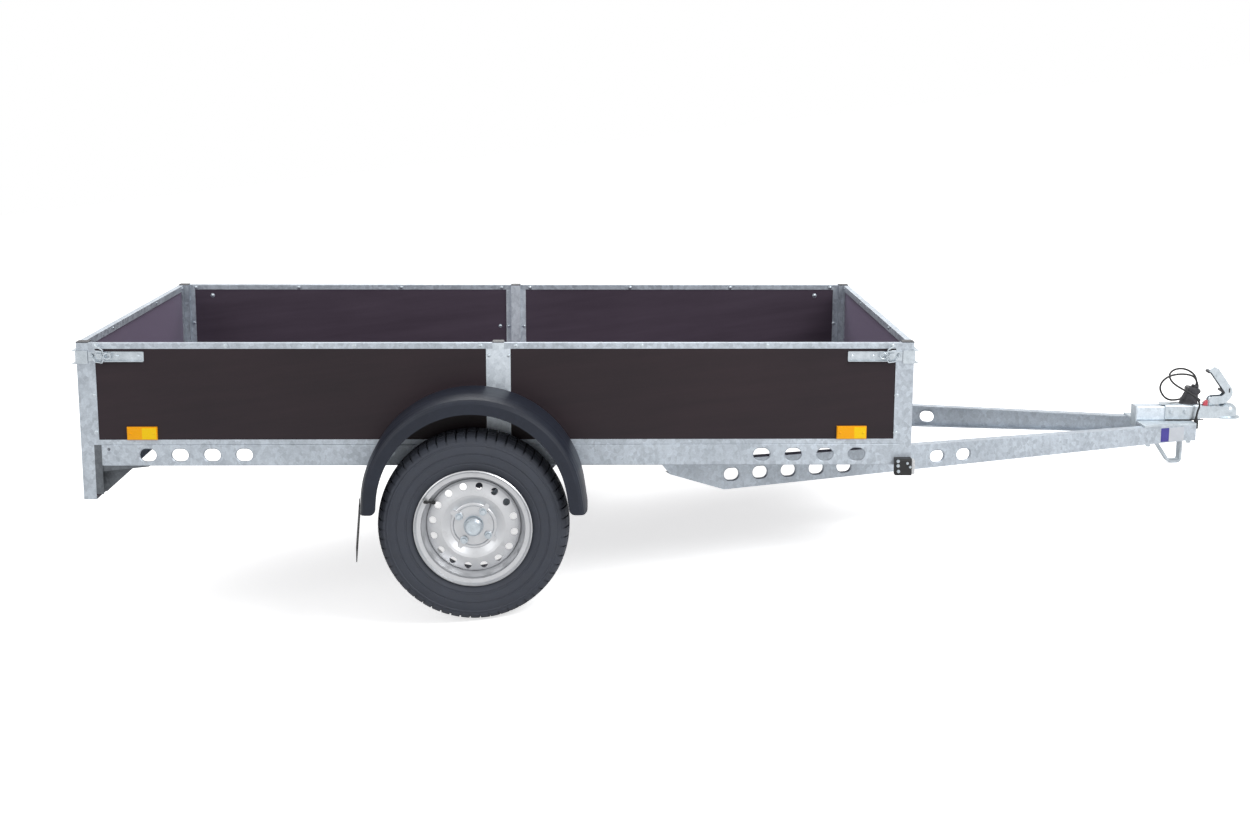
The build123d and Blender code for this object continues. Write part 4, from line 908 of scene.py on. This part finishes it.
# ---------------------------------------------------------------- plug
plug_foot = Vector((2.495, 0, 0.5136))
plug_turn = math.radians(16)
plug_axis = Vector((math.sin(plug_turn), 0, math.cos(plug_turn)))
plug_side = Vector((math.cos(plug_turn), 0, -math.sin(plug_turn)))
knob_radius = 0.0095
knob_places = ((0.051, 0.014), (0.050, -0.015))      # up the axis, ahead of it
knob_foot_out = 0.007
plug_nut_place = (0.058, 0.004)                      # up the axis, ahead of it
plug_nut = ((0, 0), (0.0125, 0), (0.0130, 0.002), (0.0130, 0.008), (0.0105, 0.011), (0, 0.011))
collar_up = 0.0065
plug_collar = ((0.0296, 0), (0.0322, 0.0005), (0.0322, 0.0045), (0.0296, 0.005), (0.0296, 0))
rib_count = 10
rib_half_turn = 0.07         # radians
rib_corners = ((0.010, 0.0305), (0.034, 0.0258), (0.010, 0.0270), (0.034, 0.0230))
lid_hinge = ((0.016, 0.024), (0.030, 0.022), (0.018, 0.038), (0.026, 0.036))
lid_hinge_half_width = 0.009
sleeve_bore = 0.0030
plug_sleeve = ((0.0072, 0), (0.0072, 0.006), (0.0055, 0.013), (0.0042, 0.0195))
gland_sleeve = ((0.0078, 0), (0.0078, 0.003), (0.0058, 0.010), (0.0040, 0.020))
cable_sleeves = (            # foot, outside, height
    ((2.523, 0, 0.5690), plug_sleeve, 0.020),
    ((2.5113, -0.0500, 0.4540), gland_sleeve, 0.0205),
)


def on_plug(up, ahead, out):
    """A point of the plug: up its leaning axis, ahead of it and out to the left."""
    return plug_foot + plug_axis * up + plug_side * ahead + Vector((0, out, 0))


def plug_details():
    """Clamp knobs, the nut round the cable, grip ribs, the collar and the lid's hinge."""
    bm = bmesh.new()
    knob = [
        (0, 0),
        (knob_radius, 0),
        (knob_radius, 0.012),
        (0.8 * knob_radius, 0.016),
        (0, 0.018),
    ]
    for up, ahead in knob_places:
        for side in (-1, 1):
            lathe(bm, on_plug(up, ahead, side * knob_foot_out), (0, side, 0), knob, 16)
    lathe(bm, on_plug(*plug_nut_place, 0), plug_axis, plug_nut, 12)
    for rib in range(rib_count):
        middle = rib * 2 * math.pi / rib_count
        hull(
            bm,
            [
                on_plug(up, radius * math.cos(turn), radius * math.sin(turn))
                for up, radius in rib_corners
                for turn in (middle - rib_half_turn, middle + rib_half_turn)
            ],
        )
    lathe(bm, on_plug(collar_up, 0, 0), plug_axis, plug_collar, 40)
    widths = (-lid_hinge_half_width, lid_hinge_half_width)
    hull(bm, [on_plug(up, ahead, out) for up, ahead in lid_hinge for out in widths])
    keep(bm, "plug_details", "chassis", "black_plastic")


def cable_clamps():
    """Rubber sleeve where the cable goes into the plug, and the one at the gland."""
    bm = bmesh.new()
    for foot, outside, height in cable_sleeves:
        profile = [(sleeve_bore, 0), *outside, (sleeve_bore, height), (sleeve_bore, 0)]
        lathe(bm, foot, (0, 0, 1), profile, 16)
    keep(bm, "cable_clamps", "chassis", "black_rubber")


plug_details()
cable_clamps()

# ---------------------------------------------------------------- coupling and its handle
red_plastic = moulded("red_plastic", (0.72, 0.10, 0.13), (0.6, 0.07, 0.1), 0.4, 800, 0.0001)
tab_outline = (              # x and height
    (2.5460, 0.5068),
    (2.5480, 0.5145),
    (2.5640, 0.5068),
    (2.5640, 0.5240),
    (2.5600, 0.5250),
)
tab_wire = ((2.5390, 0, 0.5095), (2.5470, 0, 0.5115), (2.5520, 0, 0.5160))
tab_half_width = 0.009
drawtube_bolts = ((2.428, 0.0295, 0.4870), (2.478, 0.0295, 0.4870))
rivet_place = (2.5885, 0.0158, 0.6170)
handle_rivet = ((0, 0), (0.0052, 0), (0.0046, 0.0016), (0.002, 0.0022), (0, 0.0022))
stop_outline = ((2.6020, 0.5600), (2.6050, 0.5680), (2.6170, 0.5500), (2.6215, 0.5620))
stop_half_width = 0.0131
grip_roller_end = (2.5615, -0.0155, 0.6285)
grip_roller = (
    (0, 0),
    (0.0058, 0),
    (0.0062, 0.001),
    (0.0062, 0.030),
    (0.0058, 0.031),
    (0, 0.031),
)


def wear_indicator():
    """Red tab behind the handle that shows how worn the ball socket is."""
    bm = bmesh.new()
    hull(bm, [(x, y, z) for x, z in tab_outline for y in (-tab_half_width, tab_half_width)])
    rounded(bm, 0.0015)
    keep(bm, "wear_indicator", "chassis", "black_plastic", red_plastic)


def coupling_bolts():
    """Wire of the red tab, bolts through the drawtube and rivets of the handle."""
    bm = bmesh.new()
    rod(bm, tab_wire, 0.0026)
    for side in (-1, 1):
        outward = (0, side, 0)
        for x, out, z in drawtube_bolts:
            bolt(bm, (x, side * out, z), outward, 0.0075, 0.006)
        x, out, z = rivet_place
        lathe(bm, (x, side * out, z), outward, handle_rivet, 16)
    keep(bm, "coupling_bolts", "chassis", "zinc_plated")


def handle_stops():
    """Rubber stop in the handle's bend, side pads, and the roller at its end."""
    bm = bmesh.new()
    hull(bm, [(x, y, z) for x, z in stop_outline for y in (-stop_half_width, stop_half_width)])
    twin_slabs(bm, (2.6335, 2.6385), (0.0155, 0.0166), (0.5540, 0.5690))
    lathe(bm, grip_roller_end, (0, 1, 0), grip_roller, 16)
    rounded(bm, 0.0004, 1)
    keep(bm, "handle_stops", "chassis", "black_plastic")


def coupling_packing():
    """Dark strips where the coupling sits on the nose plate: painted shade that stands for the
    shadowed gap under the coupling's housing.
    """
    bm = bmesh.new()
    twin_slabs(bm, (2.408, 2.545), (0.0258, 0.0305), (0.4562, 0.4595))
    keep(bm, "coupling_packing", "chassis", "black_rubber")


wear_indicator()
coupling_bolts()
handle_stops()
coupling_packing()

# ---------------------------------------------------------------- labels and nuts of the nose
nose_web_out = 0.0808        # how far out the drawbar's web lies at its front end
nose_web_x = 2.462           # from here back the drawbar spreads
nose_spread = math.tan(math.radians(17.2))
label_heights = (0.394, 0.443)
label_lifts = (-0.0002, 0.0006)      # of its back and its face, off the web
blue_film = moulded("blue_film", (0.07, 0.06, 0.34), (0.05, 0.04, 0.26), 0.35, 500, 0.00002)
pale_film = moulded("pale_film", (0.62, 0.65, 0.7), (0.54, 0.57, 0.62), 0.4, 500, 0.00002)
nut_places = ((2.328, 0.100, 0.3888), (2.484, 0.060, 0.3935))


def web_out(x):
    """How far out the drawbar's web lies at x."""
    return nose_web_out + nose_spread * max(0.0, nose_web_x - x)


def blank_label(name, ends, finish):
    """A blank film label on the outside of the right drawbar beam."""
    bm = bmesh.new()
    hull(
        bm,
        [
            (x, -(web_out(x) + lift), z)
            for x in ends
            for z in label_heights
            for lift in label_lifts
        ],
    )
    keep(bm, name, "chassis", "black_plastic", finish)


def nose_nuts():
    """Nuts under the drawbar beams that hold the nose plate."""
    bm = bmesh.new()
    for side in (-1, 1):
        for x, out, z in nut_places:
            bolt(bm, (x, side * out, z), (0, 0, -1), 0.0085, 0.012)
    keep(bm, "nose_nuts", "chassis", "zinc_plated")


blank_label("label_blue", (2.370, 2.401), blue_film)
blank_label("label_pale", (2.4015, 2.460), pale_film)
nose_nuts()

# ---------------------------------------------------------------- lighting cable
cable_diameter = 0.007
cable_route = (              # from the gland up over the plug, twice round, and down into it
    (2.5113, -0.0500, 0.4550),
    (2.5113, -0.0500, 0.4860),
    (2.5230, -0.0520, 0.5160),
    (2.5090, -0.0490, 0.5410),
    (2.4830, -0.0420, 0.5590),
    (2.4520, -0.0290, 0.5740),
    (2.4290, -0.0090, 0.5910),
    (2.4240, 0.0120, 0.6130),
    (2.4430, 0.0260, 0.6290),
    (2.4750, 0.0340, 0.6340),
    (2.5080, 0.0410, 0.6240),
    (2.5340, 0.0480, 0.6020),
    (2.5410, 0.0510, 0.5700),
    (2.5280, 0.0500, 0.5410),
    (2.4990, 0.0470, 0.5230),
    (2.4620, 0.0340, 0.5180),
    (2.4270, 0.0080, 0.5230),
    (2.3990, -0.0120, 0.5420),
    (2.3830, -0.0200, 0.5710),
    (2.3920, -0.0210, 0.5980),
    (2.4180, -0.0160, 0.6140),
    (2.4460, -0.0100, 0.6190),
    (2.4780, -0.0050, 0.6190),
    (2.5070, -0.0020, 0.6120),
    (2.5190, 0.0000, 0.5990),
    (2.5230, 0.0000, 0.5876),
    (2.5230, 0.0000, 0.5776),
)
cable_points = [lean @ Vector(point) for point in cable_route]
cable_curve = bpy.data.curves.new("lighting_cable", "CURVE")
cable_curve.dimensions = "3D"
cable_curve.bevel_depth = cable_diameter / 2
cable_curve.bevel_resolution = 5
cable_curve.resolution_u = 10
cable_curve.use_fill_caps = True
cable_spline = cable_curve.splines.new("NURBS")
cable_spline.points.add(len(cable_points) - 1)
for knot, point in zip(cable_spline.points, cable_points):
    knot.co = (*point, 1)
cable_spline.order_u = 3
cable_spline.use_endpoint_u = True
cable = bpy.data.objects.new("lighting_cable", cable_curve)
bpy.context.scene.collection.objects.link(cable)
cable_curve.materials.append(finishes["cable_sheath"].material)
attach(cable, "chassis")
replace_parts(cable, "cable")

# ---------------------------------------------------------------- floor, light and camera
stage_size = 60.0
floor_mesh = bmesh.new()
bmesh.ops.create_grid(floor_mesh, x_segments=1, y_segments=1, size=stage_size / 2)
floor_data = bpy.data.meshes.new("floor")
floor_mesh.to_mesh(floor_data)
floor_mesh.free()
floor = bpy.data.objects.new("floor", floor_data)
bpy.context.scene.collection.objects.link(floor)
paving = Finish("floor_white", Roughness=0.9, Specular_IOR_Level=0.0, Emission_Strength=1.0)
seen = paving.add("LightPath", output="Is Camera Ray")
mirrored = paving.maths(
    "MAXIMUM",
    paving.add("LightPath", output="Is Glossy Ray"),
    paving.add("LightPath", output="Is Transmission Ray"),
)
glow = paving.blend(seen, (0, 0, 0), (0.68, 0.68, 0.68))
paving.use(
    Base_Color=paving.blend(seen, (0.75, 0.75, 0.75), (0.95, 0.95, 0.95)),
    Emission_Color=paving.blend(mirrored, glow, (0.35, 0.35, 0.35)),
)
floor_data.materials.append(paving.material)

world = bpy.data.worlds.new("studio")
bpy.context.scene.world = world
world.use_nodes = True
sky_nodes = world.node_tree.nodes
sky_links = world.node_tree.links
# the sky is white where the camera or a mirror sees it, and half as bright as a light
seen_directly = sky_nodes.new("ShaderNodeLightPath")
sky_level = sky_nodes.new("ShaderNodeMapRange")
sky_level.inputs["To Min"].default_value = 0.5
sky_level.inputs["To Max"].default_value = 1.0
shown = seen_directly.outputs["Is Camera Ray"]
for ray in ("Is Glossy Ray", "Is Transmission Ray"):
    either = sky_nodes.new("ShaderNodeMath")
    either.operation = "MAXIMUM"
    sky_links.new(shown, either.inputs[0])
    sky_links.new(seen_directly.outputs[ray], either.inputs[1])
    shown = either.outputs[0]
sky_links.new(shown, sky_level.inputs["Value"])
sky_links.new(sky_level.outputs[0], sky_nodes["Background"].inputs["Strength"])
sky_nodes["Background"].inputs["Color"].default_value = (1, 1, 1, 1)

lamps = (                    # name, place, aimed at, size, power
    ("key_lamp", (5.2, -5.4, 5.6), (1.0, -0.3, 0.5), 4.5, 400),
    ("fill_lamp", (-5.0, -5.0, 4.5), (-0.6, 0.0, 0.5), 4.0, 60),
    ("back_lamp", (0.0, 6.5, 6.0), (0.0, 0.0, 0.6), 5.0, 230),
)
for lamp_name, place, target, size, power in lamps:
    light = bpy.data.lights.new(lamp_name, "AREA")
    light.shape = "DISK"
    light.size = size
    light.energy = power
    lamp = bpy.data.objects.new(lamp_name, light)
    bpy.context.scene.collection.objects.link(lamp)
    lamp.location = place
    aim = Vector(target) - Vector(place)
    lamp.rotation_euler = aim.to_track_quat("-Z", "Y").to_euler()

# The camera leans with the parked trailer, so that the render shows the trailer level.
frame_width = 1250.0         # pixels
focal_pixels = 1828.53
camera_place = Vector((0.3458, -6.3688, 1.7123))
camera_yaw = 0.022
camera_pitch = 0.1934        # downwards
camera_roll = 0.0031
forward = Vector(
    (
        math.sin(camera_yaw) * math.cos(camera_pitch),
        math.cos(camera_yaw) * math.cos(camera_pitch),
        -math.sin(camera_pitch),
    )
)
flat_right = Vector((math.cos(camera_yaw), -math.sin(camera_yaw), 0))
flat_up = flat_right.cross(forward)
right = flat_right * math.cos(camera_roll) + flat_up * math.sin(camera_roll)
up = flat_up * math.cos(camera_roll) - flat_right * math.sin(camera_roll)
turn = Matrix((right, up, -forward)).transposed().to_4x4()
camera_data = bpy.data.cameras.new("camera")
camera_data.sensor_width = 36
camera_data.lens = camera_data.sensor_width * focal_pixels / frame_width
camera_data.clip_end = 200
camera = bpy.data.objects.new("camera", camera_data)
bpy.context.scene.collection.objects.link(camera)
camera.matrix_world = lean @ Matrix.Translation(camera_place) @ turn
bpy.context.scene.camera = camera
bpy.context.scene.view_settings.view_transform = "Standard"
